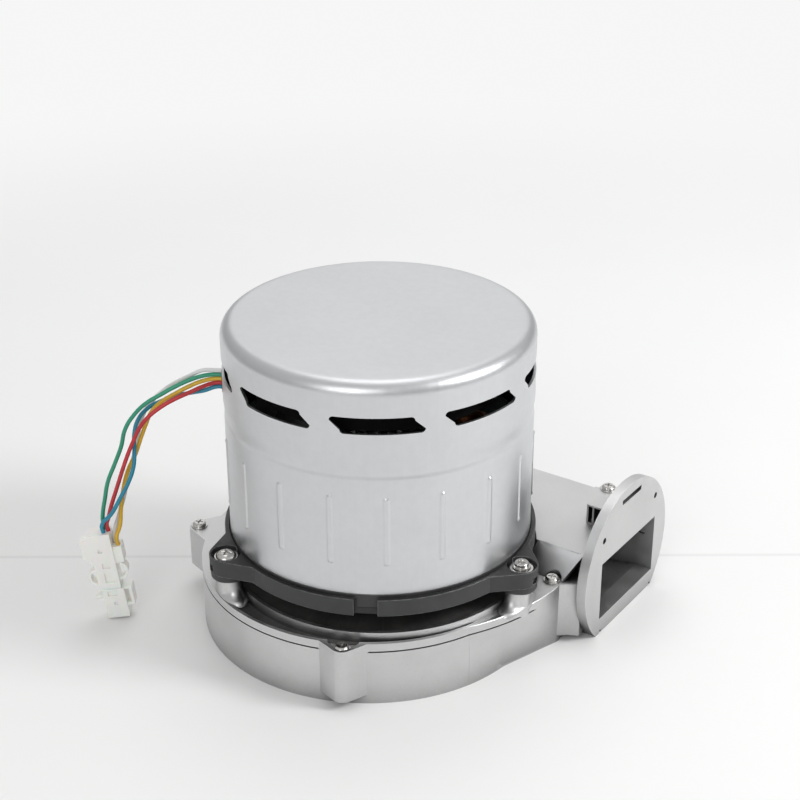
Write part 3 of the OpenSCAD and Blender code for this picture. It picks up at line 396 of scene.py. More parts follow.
def plate_finish():
    """The dark pressed plate under the ring, with marks that run out from the shaft."""
    tone = (0.045, 0.044, 0.044)
    f = Finish("dark_pressed_plate", metallic=0.4, roughness=0.5)
    x, y = f.parts(f.place())[:2]
    angle = f.sum("ARCTAN2", y, x)
    rays = f.noise(f.sum("MULTIPLY", angle, 60.0), 1.0, detail=3.0, rough=0.65, dimensions="1D")
    drift = f.use("tone_drift", tone=tone, patch_tone=(0.10, 0.097, 0.094), patch_size=0.012, cover=0.4)
    dust = f.use("settled_dust", amount=0.18)["Mask"]
    colour = f.blend(f.span(rays, 0.35, 0.75, 0.0, 0.35), drift["Color"], (0.15, 0.145, 0.14))
    f.set(base_color=f.blend(dust, colour, (0.22, 0.21, 0.20)), roughness=f.span(rays, 0.3, 0.7, 0.42, 0.6))
    f.raised((rays, 0.00005))
    return f.material


def worked_steel(name, tone, rough=0.26, lines=0.0003, patch=0.004):
    """Plated or ground steel with fine working marks."""
    f = Finish(name, metallic=1.0, roughness=rough)
    drift = f.use("tone_drift", tone=tone, patch_tone=lift(tone, 0.78), patch_size=patch, cover=0.45)
    fine = f.noise(f.place(), 1 / lines, detail=2.0)
    edge = f.use("edge_wear_and_highlight", width=0.0003, amount=0.5)["Mask"]
    f.set(
        base_color=f.blend(edge, drift["Color"], (0.92, 0.92, 0.92)),
        roughness=f.span(drift["Mask"], 0.0, 1.0, rough - 0.06, rough + 0.12),
    )
    f.raised((fine, 0.000012))
    return f.material


def moulded(name, tone, rough, grain=0.0005, depth=0.00002, patch=None, **sockets):
    """Moulded plastic, rubber or lacquer with a fine skin and slight changes of tone."""
    f = Finish(name, roughness=rough, **sockets)
    drift = f.use("tone_drift", tone=tone, patch_tone=patch or lift(tone, 1.25), patch_size=0.006, cover=0.45)
    skin = f.use("cast_grain", grain_size=grain, pit_share=0.15)
    f.set(base_color=drift["Color"], roughness=f.span(drift["Mask"], 0.0, 1.0, rough - 0.05, rough + 0.07))
    f.raised((skin["Height"], depth))
    return f.material


def layered(name, dark, light, pitch, rough, metallic):
    """Stacked laminations or close turns of wire: bands up the shaft axis."""
    f = Finish(name, metallic=metallic, roughness=rough)
    z = f.parts(f.place())[2]
    level = f.sum("PINGPONG", z, pitch / 2)
    band = f.span(level, 0.0, pitch / 2)
    drift = f.use("tone_drift", tone=dark, patch_tone=lift(dark, 1.4), patch_size=0.005, cover=0.5)
    colour = f.blend(band, drift["Color"], light)
    f.set(base_color=colour, roughness=f.span(band, 0.0, 1.0, rough + 0.12, rough))
    f.raised((band, pitch / 3))
    return f.material


def board_lacquer():
    """Circuit board: nearly black green lacquer over slightly paler tracks."""
    f = Finish("board_lacquer", roughness=0.25)
    bricks = f.put(
        "TexBrick",
        {
            "Vector": f.place(),
            "Scale": 90.0,
            "Color1": (0.006, 0.012, 0.009, 1),
            "Color2": (0.008, 0.016, 0.011, 1),
            "Mortar": (0.014, 0.03, 0.02, 1),
            "Mortar Size": 0.03,
        },
    )
    drift = f.use(
        "tone_drift", tone=(0.85, 0.85, 0.85), patch_tone=(1.0, 1.0, 1.0), patch_size=0.01, cover=0.5
    )
    f.set(base_color=f.blend(1.0, bricks.outputs["Color"], drift["Color"], "MULTIPLY"))
    f.raised((bricks.outputs["Fac"], 0.00004))
    return f.material


def nylon_finish():
    """Natural nylon: milky, a little yellow, slightly see-through."""
    f = Finish(
        "natural_nylon",
        roughness=0.38,
        subsurface_weight=0.35,
        subsurface_scale=0.004,
        coat_weight=0.15,
    )
    drift = f.use(
        "tone_drift", tone=(0.90, 0.90, 0.87), patch_tone=(0.87, 0.87, 0.79), patch_size=0.012, cover=0.35
    )
    skin = f.use("cast_grain", grain_size=0.0008, pit_share=0.1)
    f.set(base_color=drift["Color"], roughness=f.span(skin["Height"], 0.3, 0.7, 0.32, 0.46))
    f.raised((skin["Height"], 0.00002))
    return f.material


def wire_sleeve(name, tone):
    """Soft glossy insulation on one wire."""
    f = Finish(name, roughness=0.38, coat_weight=0.2)
    drift = f.use("tone_drift", tone=tone, patch_tone=lift(tone, 0.8), patch_size=0.008, cover=0.4)
    fine = f.noise(f.place(), 1500.0, detail=2.0)
    f.set(base_color=drift["Color"], roughness=f.span(fine, 0.3, 0.7, 0.32, 0.46))
    f.raised((fine, 0.00001))
    return f.material


CAST = cast_metal("cast_aluminium", (0.60, 0.60, 0.60))
STEEL = worked_steel("plated_steel", (0.66, 0.65, 0.63))
RUBBER = moulded("black_rubber", (0.018, 0.018, 0.018), 0.62)
NYLON = nylon_finish()
FINISHES = {
    "cast_alu": CAST,
    "turned_alu": cast_metal("turned_aluminium", (0.68, 0.68, 0.69), rough=0.30, depth=0.00001),
    "zinc_sheet": can_sheet(),
    # The dark coat's lighter edges are partly rubbed wear and partly a painted highlight.
    "dark_cast": dark_coat("dark_coated_casting", (0.026, 0.026, 0.027), 0.46, wear=0.6),
    "dark_plate": plate_finish(),
    "rubber": RUBBER,
    "steel": STEEL,
    "lamination": layered("steel_laminations", (0.10, 0.10, 0.11), (0.32, 0.32, 0.34), 0.5 * MM, 0.4, 1.0),
    "magnet": moulded("sintered_magnet", (0.10, 0.10, 0.11), 0.35, metallic=0.8),
    "copper": layered("enamelled_copper", (0.10, 0.035, 0.015), (0.30, 0.13, 0.06), 0.6 * MM, 0.28, 1.0),
    "insulator": moulded("winding_insulator", (0.10, 0.10, 0.10), 0.4),
    "board": board_lacquer(),
    "dark_plastic": moulded(
        "dark_glossy_plastic", (0.014, 0.014, 0.014), 0.17, grain=0.001, depth=0.00001, coat_weight=0.4
    ),
    "nylon": NYLON,
}
WIRE_TONES = {
    "white": (0.76, 0.77, 0.76),
    "green": (0.025, 0.32, 0.19),
    "yellow": (0.76, 0.46, 0.03),
    "red": (0.55, 0.025, 0.035),
    "blue": (0.012, 0.25, 0.38),
}

# ---------------------------------------------------------------- lead

# Turned frame of the lead: u outwards from the shaft, v to its left, then z, in millimetres
LEAD_TURN = 215.0
GROMMET_SWING = -10.0
GROMMET_FACE = 77.5
EXIT_RUN = 3.0
LEAD_Z = 125.8
LEAD_PITCH = 2.2
WIRE_D = 2.1
PLUG_FOOT = Vector((133.4, 3.0, 1.2))
PLUG_LEAN = 7.0

# Each lead: its row in the grommet, its pin in the connector, and the points between
ROUTES = {
    "white": (2, (-5.4, -1.3, 41), [
        (86, -14.5, 130), (93, -15.5, 126.5), (100, -16.5, 122.5), (107, -17, 117.5), (113, -16.5, 111.5),
        (117.5, -16, 104.5), (120, -15, 96.5), (122, -13.5, 88), (124, -11.5, 80), (126.5, -9, 72),
        (128.5, -6, 64), (131, -3, 56)]),
    "green": (1, (-1.2, -1.7, 49), [
        (86, -13.5, 127.5), (93, -12.5, 125.5), (100, -11.5, 122.5), (107, -10, 119), (114, -9, 115),
        (120, -8, 109.5), (125, -6.5, 102), (127.5, -5, 93), (131, -3.5, 84.5), (135, -2, 75),
        (137, -0.5, 66), (138.5, 1, 58)]),
    "yellow": (0, (-7, 1.6, 41), [
        (86, -13, 125), (93, -12, 122.5), (100, -11, 119), (107, -10, 115), (112, -9, 110),
        (115, -8.5, 103.5), (118, -8, 96), (121, -7, 88), (125, -5, 80), (127.5, -2.5, 71.5),
        (129, 0.5, 62.5), (130, 3, 53)]),
    "red": (-1, (-3.5, 0.6, 49), [
        (86, -12, 122.5), (93, -10, 120), (100, -8, 117.5), (107, -6, 114), (113, -4.5, 109.5),
        (117.5, -3.5, 104), (121, -2.5, 97), (124.5, -1.5, 89), (127.5, -0.5, 81), (130.5, 0.5, 72.5),
        (133.5, 2, 64), (135.5, 3, 57)]),
    "blue": (-2, (-1.2, 2, 49), [
        (86, -13.5, 119.5), (93, -14, 118), (100, -14, 116.5), (107, -13.5, 114), (114, -12.5, 110.5),
        (119, -11, 105), (121, -8, 98.5), (121, -4.5, 91), (121.5, -1.5, 84), (124, 1.5, 77),
        (128, 4.5, 70), (133, 6, 61.5)]),
}


def from_lead(point):
    """A point of the lead's turned frame in millimetres, as a place in metres."""
    return (turned("Z", LEAD_TURN) @ Vector(point)) * MM


def from_plug(x, y, z):
    """A point of the connector's own frame, in the lead's turned frame."""
    lean = math.radians(PLUG_LEAN)
    return PLUG_FOOT + Vector(
        (x * math.cos(lean) + z * math.sin(lean), y, z * math.cos(lean) - x * math.sin(lean))
    )


def wire_points(row, pin, middle):
    """The places along one lead: straight out of the grommet, its route, then into its pin."""
    swing = math.radians(GROMMET_SWING)
    level = LEAD_Z + row * LEAD_PITCH
    exits = [
        ((GROMMET_FACE + run) * math.cos(swing), (GROMMET_FACE + run) * math.sin(swing), level)
        for run in (0.0, EXIT_RUN)
    ]
    x, y, z = pin
    ends = [from_plug(x, y, z + 4), from_plug(x, y, z)]
    return [from_lead(p) for p in [*exits, *middle, *ends]]


def make_wire(colour):
    """One lead as a free cord that stands for its solid."""
    row, pin, middle = ROUTES[colour]
    curve = bpy.data.curves.new("wire_" + colour + "_sleeve", "CURVE")
    curve.dimensions = "3D"
    curve.bevel_depth = WIRE_D / 2 * MM
    curve.bevel_resolution = 4
    curve.resolution_u = 8
    curve.use_fill_caps = True
    points = wire_points(row, pin, middle)
    spline = curve.splines.new("BEZIER")
    spline.bezier_points.add(len(points) - 1)
    for knot, point in zip(spline.bezier_points, points):
        knot.co = point
        knot.handle_left_type = knot.handle_right_type = "AUTO"
    piece = bpy.data.objects.new("wire_" + colour + "_sleeve", curve)
    bpy.context.scene.collection.objects.link(piece)
    piece.data.materials.append(wire_sleeve("insulation_" + colour, WIRE_TONES[colour]))
    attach(piece, "housing")
    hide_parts("wire_" + colour)


for lead_colour in ROUTES:
    make_wire(lead_colour)

# ---------------------------------------------------------------- motor can

# Radii, heights and widths are in millimetres, phases and angles in degrees
CAN_LOW, CAN_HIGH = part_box("motor_can")
CAN_FOOT = CAN_LOW.z / MM
CAN_TOP = CAN_HIGH.z / MM
CAN_R = 75.0
CAN_WALL = 1.2
LOW_R = 74.75
WAIST_R = 74.35
CAN_EDGE = 6.5
SHOULDER = CAN_TOP - 46.5
SHOULDER_RUN = 1.3
WAIST_RUN = 9.0
VENT_COUNT = 9
VENT_PHASE = -55.4
VENT_ANGLE = 33.0
VENT_H = 8.1
VENT_SLANT = 2.3
VENT_ROUND = 1.9
VENT_LEVEL = CAN_TOP - 20.3
RIB_COUNT = 18
RIB_PHASE = -52.5
RIB_H = 33.0
RIB_LEVEL = CAN_FOOT + RIB_H
RIB_RISE = 0.5
RIB_HALF = 1.45
DIMPLE_RISE = 0.28
LEAD_SWING = LEAD_TURN + GROMMET_SWING
LEAD_ROOM = 0.9
CUT_ROUND = 0.3
ROUND_FROM = 34.0


def round_edges(piece, width):
    """Rounds the sharp edges that a piece shows, by modifiers. Its own mesh stays as it is."""
    piece.modifiers.new("join", "WELD").merge_threshold = 1e-6
    bevel = piece.modifiers.new("round", "BEVEL")
    bevel.width = width * MM
    bevel.segments = 2
    bevel.limit_method = "ANGLE"
    bevel.angle_limit = math.radians(ROUND_FROM)
    bevel.miter_outer = "MITER_ARC"
    bevel.harden_normals = True
    even = piece.modifiers.new("flat_faces_flat", "WEIGHTED_NORMAL")
    even.weight = 80
    even.keep_sharp = True


def new_piece(name, points, faces, finish, body="housing", slot="cast_alu", sharp=34.0):
    """A mesh piece from places in millimetres, smooth but for its sharp edges."""
    mesh = bpy.data.meshes.new(name)
    mesh.from_pydata([Vector(p) * MM for p in points], [], faces)
    mesh.validate()
    piece = bpy.data.objects.new(name, mesh)
    bpy.context.scene.collection.objects.link(piece)
    mesh.materials.append(finish)
    mesh.polygons.foreach_set("use_smooth", [True] * len(mesh.polygons))
    mesh.set_sharp_from_angle(angle=math.radians(sharp))
    if body:
        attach(piece, body)
    return piece


def revolved(profile, angles, rise=None):
    """Points and faces of a closed profile of (radius, height) turned through a full list of angles."""
    points, faces = [], []
    for angle in angles:
        c, s = math.cos(math.radians(angle)), math.sin(math.radians(angle))
        for radius, height in profile:
            out = radius + (rise(angle, radius, height) if rise else 0.0)
            points.append((out * c, out * s, height))
    deep, count = len(profile), len(angles)
    for i in range(count):
        j = (i + 1) % count
        for k in range(deep):
            m = (k + 1) % deep
            faces.append((i * deep + k, j * deep + k, j * deep + m, i * deep + m))
    return points, faces


def close_axis(mesh):
    """Joins the points that a revolve puts together at its axis."""
    work = bmesh.new()
    work.from_mesh(mesh)
    bmesh.ops.remove_doubles(work, verts=work.verts, dist=1e-7)
    work.to_mesh(mesh)
    work.free()


def steps(low, high, count):
    """Evenly spaced values from low to high, both ends included."""
    return [low + (high - low) * i / (count - 1) for i in range(count)]


def smooth_step(low, high, value):
    """A share from 0 to 1 that eases in at low and out at high."""
    t = min(1.0, max(0.0, (value - low) / (high - low)))
    return t * t * (3 - 2 * t)


def can_profile():
    """The can's section, foot to top outside and back down inside, closed at the axis."""
    low_r = LOW_R
    top_mid = CAN_TOP - CAN_EDGE
    rib_low, rib_high = RIB_LEVEL - RIB_H / 2, RIB_LEVEL + RIB_H / 2
    outside = [(low_r, CAN_FOOT), (low_r, rib_low - 3.5)]
    outside += [(low_r, z) for z in steps(rib_low - 2.4, rib_low + 2.4, 9)]
    outside += [(low_r, z) for z in steps(rib_low + 7, rib_high - 7, 4)]
    outside += [(low_r, z) for z in steps(rib_high - 2.4, rib_high + 2.4, 9)]
    outside += [
        (low_r + (WAIST_R - low_r) * smooth_step(-SHOULDER_RUN, SHOULDER_RUN, z), SHOULDER + z)
        for z in steps(-SHOULDER_RUN, SHOULDER_RUN, 7)
    ]
    outside += [
        (WAIST_R + (CAN_R - WAIST_R) * smooth_step(SHOULDER_RUN, WAIST_RUN, z), SHOULDER + z)
        for z in steps(SHOULDER_RUN + 0.8, WAIST_RUN, 7)
    ]
    outside += [(CAN_R, z) for z in steps(SHOULDER + WAIST_RUN + 2, top_mid - 0.4, 7)]
    bend = [math.radians(a) for a in steps(0, 90, 13)]
    outside += [
        (CAN_R - CAN_EDGE + CAN_EDGE * math.cos(a), top_mid + CAN_EDGE * math.sin(a)) for a in bend
    ]
    crown = [(r, CAN_TOP) for r in (66.0, 60.0, 40.0, 20.0, 0.0)]
    skin = CAN_EDGE - CAN_WALL
    inside = [(r, CAN_TOP - CAN_WALL) for r in (0.0, 40.0, 60.0)]
    inside += [
        (CAN_R - CAN_EDGE + skin * math.cos(a), top_mid + skin * math.sin(a)) for a in reversed(bend[::2])
    ]
    inside += [(CAN_R - CAN_WALL, SHOULDER + WAIST_RUN), (WAIST_R - CAN_WALL, SHOULDER + SHOULDER_RUN)]
    inside += [(low_r - CAN_WALL, CAN_FOOT)]
    return outside + crown + inside


def rib_rise(angle, radius, height):
    """How far a pressed rib lifts the lower wall at a place, with a small dimple at each end."""
    if radius < LOW_R - 0.3 or height > SHOULDER - 2:
        return 0.0
    pitch = 360 / RIB_COUNT
    off = (angle - RIB_PHASE + pitch / 2) % pitch - pitch / 2
    across = radius * math.radians(off)
    beyond = max(0.0, abs(height - RIB_LEVEL) - RIB_H / 2)
    from_line = math.hypot(across, beyond * 1.3)
    bulge = RIB_RISE * (1 - smooth_step(RIB_HALF * 0.5, RIB_HALF * 1.2, from_line))
    end = math.hypot(across, abs(abs(height - RIB_LEVEL) - RIB_H / 2 - 0.2))
    return bulge + DIMPLE_RISE * (1 - smooth_step(0.2, 1.1, end))


def can_angles():
    """Turns of the can's columns: close beside each rib, wide between."""
    near = (0.3, 0.55, 0.75, 0.95, 1.15, 1.35, 1.8)
    offsets = sorted([-n for n in near] + [0.0] + list(near) + [4.0, 6.0, 8.0, 10.0, -4.0, -6.0, -8.0])
    pitch = 360 / RIB_COUNT
    return [RIB_PHASE + rib * pitch + off for rib in range(RIB_COUNT) for off in offsets]


def slot_outline(half_w, half_h, slant, round_r):
    """A slanted slot with round corners, as (across, up) pairs."""
    inner = [
        (half_w - slant, half_h - round_r, 0),
        (-half_w - slant, half_h - round_r, 90),
        (-half_w + slant, -half_h + round_r, 180),
        (half_w + slant, -half_h + round_r, 270),
    ]
    return [
        (x + round_r * math.cos(math.radians(turn + t)), y + round_r * math.sin(math.radians(turn + t)))
        for x, y, turn in inner
        for t in steps(0, 90, 7)
    ]


def wall_cutter(name, cuts):
    """One mesh of prisms that pass through the can's wall; cuts are (turn, level, outline)."""
    points, faces = [], []
    for turn, level, outline in cuts:
        c, s = math.cos(math.radians(turn)), math.sin(math.radians(turn))
        base, count = len(points), len(outline)
        for reach in (CAN_R - 12, CAN_R + 6):
            points += [(reach * c - x * s, reach * s + x * c, level + z) for x, z in outline]
        faces.append(tuple(base + i for i in reversed(range(count))))
        faces.append(tuple(base + count + i for i in range(count)))
        for i in range(count):
            j = (i + 1) % count
            faces.append((base + i, base + j, base + count + j, base + count + i))
    mesh = bpy.data.meshes.new(name)
    mesh.from_pydata([Vector(p) * MM for p in points], [], faces)
    cutter = bpy.data.objects.new(name, mesh)
    bpy.context.scene.collection.objects.link(cutter)
    return cutter


def cut_out(piece, cutter):
    """Takes the cutter's shape out of a piece, and removes the cutter."""
    cut = piece.modifiers.new("cut", "BOOLEAN")
    cut.operation = "DIFFERENCE"
    cut.solver = "EXACT"
    cut.object = cutter
    graph = bpy.context.evaluated_depsgraph_get()
    mesh = bpy.data.meshes.new_from_object(piece.evaluated_get(graph))
    piece.modifiers.clear()
    piece.data = mesh
    bpy.data.objects.remove(cutter)


def make_can():
    """The drawn can with its slots, its lead hole and its pressed ribs."""
    points, faces = revolved(can_profile(), can_angles(), rib_rise)
    can = new_piece("motor_can_shell", points, faces, FINISHES["zinc_sheet"], None)
    close_axis(can.data)
    half_w = CAN_R * math.sin(math.radians(VENT_ANGLE / 2)) - VENT_SLANT - VENT_ROUND
    vent = slot_outline(half_w, VENT_H / 2, VENT_SLANT, VENT_ROUND)
    cuts = [(VENT_PHASE + 360 / VENT_COUNT * i, VENT_LEVEL, vent) for i in range(VENT_COUNT)]
    reach = 2 * LEAD_PITCH
    half = WIRE_D / 2 + LEAD_ROOM
    lead = [
        (half * math.cos(math.radians(a)), half * math.sin(math.radians(a)) + shift)
        for shift, low, high in ((reach, 0, 180), (-reach, 180, 360))
        for a in steps(low, high, 9)
    ]
    cuts.append((LEAD_SWING, LEAD_Z, lead))
    cutter = wall_cutter("wall_cutter", cuts)
    cut_out(can, cutter)
    mesh = can.data
    mesh.polygons.foreach_set("use_smooth", [True] * len(mesh.polygons))
    mesh.set_sharp_from_angle(angle=math.radians(40))
    bevel = can.modifiers.new("round", "BEVEL")
    bevel.width = CUT_ROUND * MM
    bevel.segments = 2
    bevel.limit_method = "ANGLE"
    bevel.angle_limit = math.radians(55)
    bevel.harden_normals = True
    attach(can, "housing")
    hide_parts("motor_can")


make_can()

# ---------------------------------------------------------------- cast forms and lug screws

# Millimetres and degrees
SPIRAL_MID = Vector((-7.5, 2.5))
SPIRAL_R = 86.0
RIM_R = 75.8
DECK_Z = 31.6
TOP_Z = 33.5
SEAM_LOW, SEAM_HIGH = 28.6, 29.4
PILLAR_Z = 43.0
LUG_MID = 80.4
LUG_R = 82.0
LUG_TURNS = (0.0, 120.0, 240.0)
CUP_Z = 53.4
BOSS = Vector((84.0, 27.0))
BOSS_R = 5.2
FLANGE_BACK = 98.0
DUCT_NEAR = 40.0
ROOF_Z = 45.0
BAND_OVER = 0.06
RING_Z = 47.3
NOTCH_R = 74.5
NOTCH_TURN = 300.0
NOTCH_HALF = 4.05
HOOD_R = 78.7
SCREW_ROOM = 4.8
SLOPE_EDGE = 2.15
TONGUE_TURN = -9
TONGUE_AIM = math.radians(TONGUE_TURN)
TONGUE_FOOT = SPIRAL_MID + (SPIRAL_R - 0.6) * Vector((math.cos(TONGUE_AIM), math.sin(TONGUE_AIM)))
WALL_BEND = Vector((88.3, -4.0))
WALL_END = Vector((89.3, 25.5))
SEAM_END = 0.66
GROOVE_DEEP = 0.45
FRONT_TURN = -63.6
FRONT_OUT = 2.2
LEFT_TURN = 200.9
LEFT_OUT = 6.6
WASHER_T = 1.0
HOLE_R = 2.2
SHANK_R = 2.0
SHANK_FOOT = PILLAR_Z - 8
RECESS_REACH = 2.9
RECESS_HALF = 0.55


def turn_out(angle, radius):
    """A place in plan, at an angle in degrees and a radius."""
    return Vector((radius * math.cos(math.radians(angle)), radius * math.sin(math.radians(angle))))


def loft(sections):
    """Points and faces of a closed solid through sections of equal count, capped at both ends."""
    deep = len(sections[0])
    points = [p for section in sections for p in section]
    faces = [tuple(reversed(range(deep))), tuple(range(len(points) - deep, len(points)))]
    for i in range(len(sections) - 1):
        for k in range(deep):
            m = (k + 1) % deep
            faces.append((i * deep + k, i * deep + m, (i + 1) * deep + m, (i + 1) * deep + k))
    return points, faces


def prism(outline, low, high):
    """An outline in plan, carried straight up from low to high."""
    return loft([[(x, y, low) for x, y in outline], [(x, y, high) for x, y in outline]])


def joined(solids):
    """One list of points and one of faces from several solids."""
    points, faces = [], []
    for more_points, more_faces in solids:
        base = len(points)
        points += more_points
        faces += [tuple(base + i for i in face) for face in more_faces]
    return points, faces


def turned_at(profile, middle, count=48, turn=0.0, wide=None):
    """A closed profile turned about an upright line at middle; wide(height) stretches it crosswise."""
    points, faces = revolved(profile, [360 / count * i for i in range(count)])
    placed = []
    for x, y, z in points:
        across = y * (wide(z) if wide else 1.0)
        spot = Matrix.Rotation(math.radians(turn), 2) @ Vector((x, across))
        placed.append((middle.x + spot.x, middle.y + spot.y, z))
    return placed, faces


def cast_piece(name, solid, round_mm, finish="cast_alu", sharp=34.0):
    """A closed piece on the housing, with its doubled points joined and its edges rounded."""
    piece = new_piece(name, *solid, FINISHES[finish], slot=finish, sharp=sharp)
    work = bmesh.new()
    work.from_mesh(piece.data)
    bmesh.ops.remove_doubles(work, verts=work.verts, dist=1e-7)
    bmesh.ops.recalc_face_normals(work, faces=work.faces)
    work.to_mesh(piece.data)
    work.free()
    if round_mm:
        round_edges(piece, round_mm)
    return piece


def tongue_wall_line(share):
    """The drafted wall from the spiral to the tongue boss in plan: its outer line and the wall under it."""
    start = SPIRAL_MID + turn_out(-22.0, SPIRAL_R + 0.05)
    outer = start * (1 - share) ** 2 + WALL_BEND * 2 * share * (1 - share) + WALL_END * share**2
    way = outer - SPIRAL_MID
    inner = SPIRAL_MID + way.normalized() * (SPIRAL_R + 0.05)
    if math.degrees(math.atan2(way.y, way.x)) > TONGUE_TURN:
        along = BOSS + turn_out(-15, BOSS_R) - TONGUE_FOOT
        reach = (TONGUE_FOOT - SPIRAL_MID).cross(along) / way.cross(along)
        inner = SPIRAL_MID + way * min(reach, 1.0)
    return outer, inner


def make_tongue_wall():
    """The drafted wall beside the tongue, with the split line and its gasket along most of it."""
    sections, strips = [], []
    for share in steps(0.0, 1.0, 33):
        outer, inner = tongue_wall_line(share)
        inward = (SPIRAL_MID - outer).normalized()
        groove = outer + inward * (GROOVE_DEEP if share < SEAM_END else 0.0)
        core = inner + inward * 1.2
        lean = outer - inner
        path = [
            (core, 1.0), (inner, 1.0), (inner + lean * 0.45, 9.0), (inner + lean * 0.85, 18.0),
            (outer, SEAM_LOW), (groove, SEAM_LOW + 0.01), (groove, SEAM_HIGH - 0.01), (outer, SEAM_HIGH),
            (outer, TOP_Z - 0.25), (outer + inward * 0.2, TOP_Z - 0.05), (core, TOP_Z - 0.05),
        ]
        sections.append([(p.x, p.y, z) for p, z in path])
        if share < SEAM_END:
            strip = [(groove - inward * 0.12, SEAM_LOW), (groove - inward * 0.12, SEAM_HIGH),
                     (groove + inward * 0.4, SEAM_HIGH), (groove + inward * 0.4, SEAM_LOW)]
            strips.append([(p.x, p.y, z) for p, z in strip])
    cast_piece("tongue_wall", loft(sections), 0.0, sharp=40)
    cast_piece("tongue_wall_gasket", loft(strips), 0.0, "rubber")


def make_tongue_post():
    """The plain round post beside the tongue, with the cheek that joins it to the duct."""
    post = [(3.4, 0.4), (BOSS_R - 0.3, 0.4), (BOSS_R + 0.2, 1.6), (BOSS_R + 0.2, TOP_Z - 0.5)]
    post += [(BOSS_R - 0.1, TOP_Z - 0.05), (3.4, TOP_Z - 0.05)]
    cast_piece("tongue_post", turned_at(post, BOSS), 0.0)
    cheek = [(86.0, 24.0), (89.2, 25.2), (92.5, 28.2)]
    cheek += [(FLANGE_BACK, 31.2), (FLANGE_BACK, 41.0), (87.0, 41.0)]
    cast_piece("duct_cheek", prism(cheek, 3.5, TOP_Z - 0.1), 0.5)
    cast_piece("tongue_slope", loft([slope_section(x) for x in steps(69.5, 94.3, 32)]), 0.0)


def slope_section(x):
    """A cut across the slope that climbs from the tongue boss to the duct roof, clear of ring and screw."""
    low, high = BOSS.y + 1.2, DUCT_NEAR + 0.6
    if abs(x - BOSS.x) < SCREW_ROOM:
        low = max(low, BOSS.y + math.sqrt(SCREW_ROOM**2 - (x - BOSS.x) ** 2))
    if x < HOOD_R:
        low = max(low, math.sqrt(HOOD_R**2 - x * x))
    if x > BOSS.x + SCREW_ROOM:
        low += (x - BOSS.x - SCREW_ROOM) * SLOPE_EDGE
    low = min(low, high - 0.5)

    def rise(y):
        return min(ROOF_Z, TOP_Z + (y - BOSS.y - 1) * (ROOF_Z - TOP_Z) / (DUCT_NEAR - BOSS.y - 1)) + 0.1

    across = steps(low, high, 6)
    top = [(x, y, rise(y)) for y in across]
    under = [(x, y, max(rise(y) - 1.8, TOP_Z - 1)) for y in reversed(across)]
    return top + under


def make_pillar_flares():
    """Soft skirts that run each lug pillar into the rim."""
    skirt = [(5.0, PILLAR_Z), (6.1, PILLAR_Z), (6.15, 40.5), (6.4, 38.5), (6.9, 36.9)]
    skirt += [(7.9, 35.6), (9.4, 34.6), (10.6, 34.0), (10.8, TOP_Z - 1.2), (5.0, TOP_Z - 1.2)]
    reach = PILLAR_Z - TOP_Z
    solids = []
    for turn in LUG_TURNS:
        widen = lambda z: 1 + 0.25 * (PILLAR_Z - z) / reach
        solid, faces = turned_at(skirt, Vector((0.0, 0.0)), wide=widen)
        held = []
        for x, y, z in solid:
            low_share = smooth_step(0, 1, (PILLAR_Z - z) / reach)
            out = x * (1 - 0.42 * low_share) if x > 0 else x * (1 - 0.25 * low_share)
            spot = Matrix.Rotation(math.radians(turn), 2) @ Vector((LUG_MID + out, y))
            held.append((spot.x, spot.y, z))
        solids.append((held, faces))
    cast_piece("pillar_flares", joined(solids), 0.0, sharp=50)


def make_channel_dark_strip():
    """A thin dark strip laid in the sunk channel between rim and lip."""
    outer = [SPIRAL_MID + turn_out(a, SPIRAL_R - 2.1) for a in steps(-114, -18, 49)]
    inner = [turn_out(a, RIM_R + 0.15) for a in steps(-20, -112, 49)]
    outline = [tuple(p) for p in outer + inner]
    cast_piece("channel_dark_strip", prism(outline, DECK_Z + 0.02, DECK_Z + 0.3), 0.0, "dark_plate")


def lobe_outline(turn, reach, spread):
    """The outer line of a boss in plan: a round end that two flanks join to the spiral wall."""
    foot = turn_out(spread, SPIRAL_R) - Vector((0.6 - BAND_OVER, 0.0))
    away = foot - Vector((reach, 0.0))
    touch = math.degrees(math.atan2(away.y, away.x) - math.acos(BOSS_R / away.length)) - 3
    end = [Vector((reach, 0.0)) + turn_out(a, BOSS_R + BAND_OVER) for a in steps(touch, -touch, 17)]
    near = [Vector((foot.x - 1.5, foot.y)), foot]
    far = [Vector((foot.x, -foot.y)), Vector((foot.x - 1.5, -foot.y))]
    local = [*near, *end, *far]
    swing = Matrix.Rotation(math.radians(turn), 2)
    return [tuple(SPIRAL_MID + swing @ point) for point in local]


def make_boss_bands():
    """Cast skins that close the split line on the front and left bosses."""
    front = prism(lobe_outline(FRONT_TURN, SPIRAL_R + FRONT_OUT, 8), 5.05, DECK_Z - 0.3)
    left = prism(lobe_outline(LEFT_TURN, SPIRAL_R + LEFT_OUT, 9), 12.05, DECK_Z - 0.3)
    cast_piece("boss_bands", joined([front, left]), 0.0)


def make_notch_painted_shade():
    """The black strips of painted shade that fill the gaps below and beside the tab in the ring's front
    notch.
    """
    def sector(first, last, low, high):
        outer = [turn_out(a, NOTCH_R + 0.7) for a in steps(first, last, 5)]
        inner = [turn_out(a, NOTCH_R - 0.4) for a in steps(last, first, 5)]
        return prism([tuple(p) for p in outer + inner], low, high)

    left, right = NOTCH_TURN - NOTCH_HALF, NOTCH_TURN + NOTCH_HALF
    below = sector(left, right, RING_Z + 0.1, RING_Z + 3.3)
    beside = sector(left, left + 0.9, RING_Z + 3.3, RING_Z + 8.0)
    # Painted shade: black rubber strips fill the notch gaps.
    cast_piece("notch_painted_shade", joined([below, beside]), 0.0, "rubber")


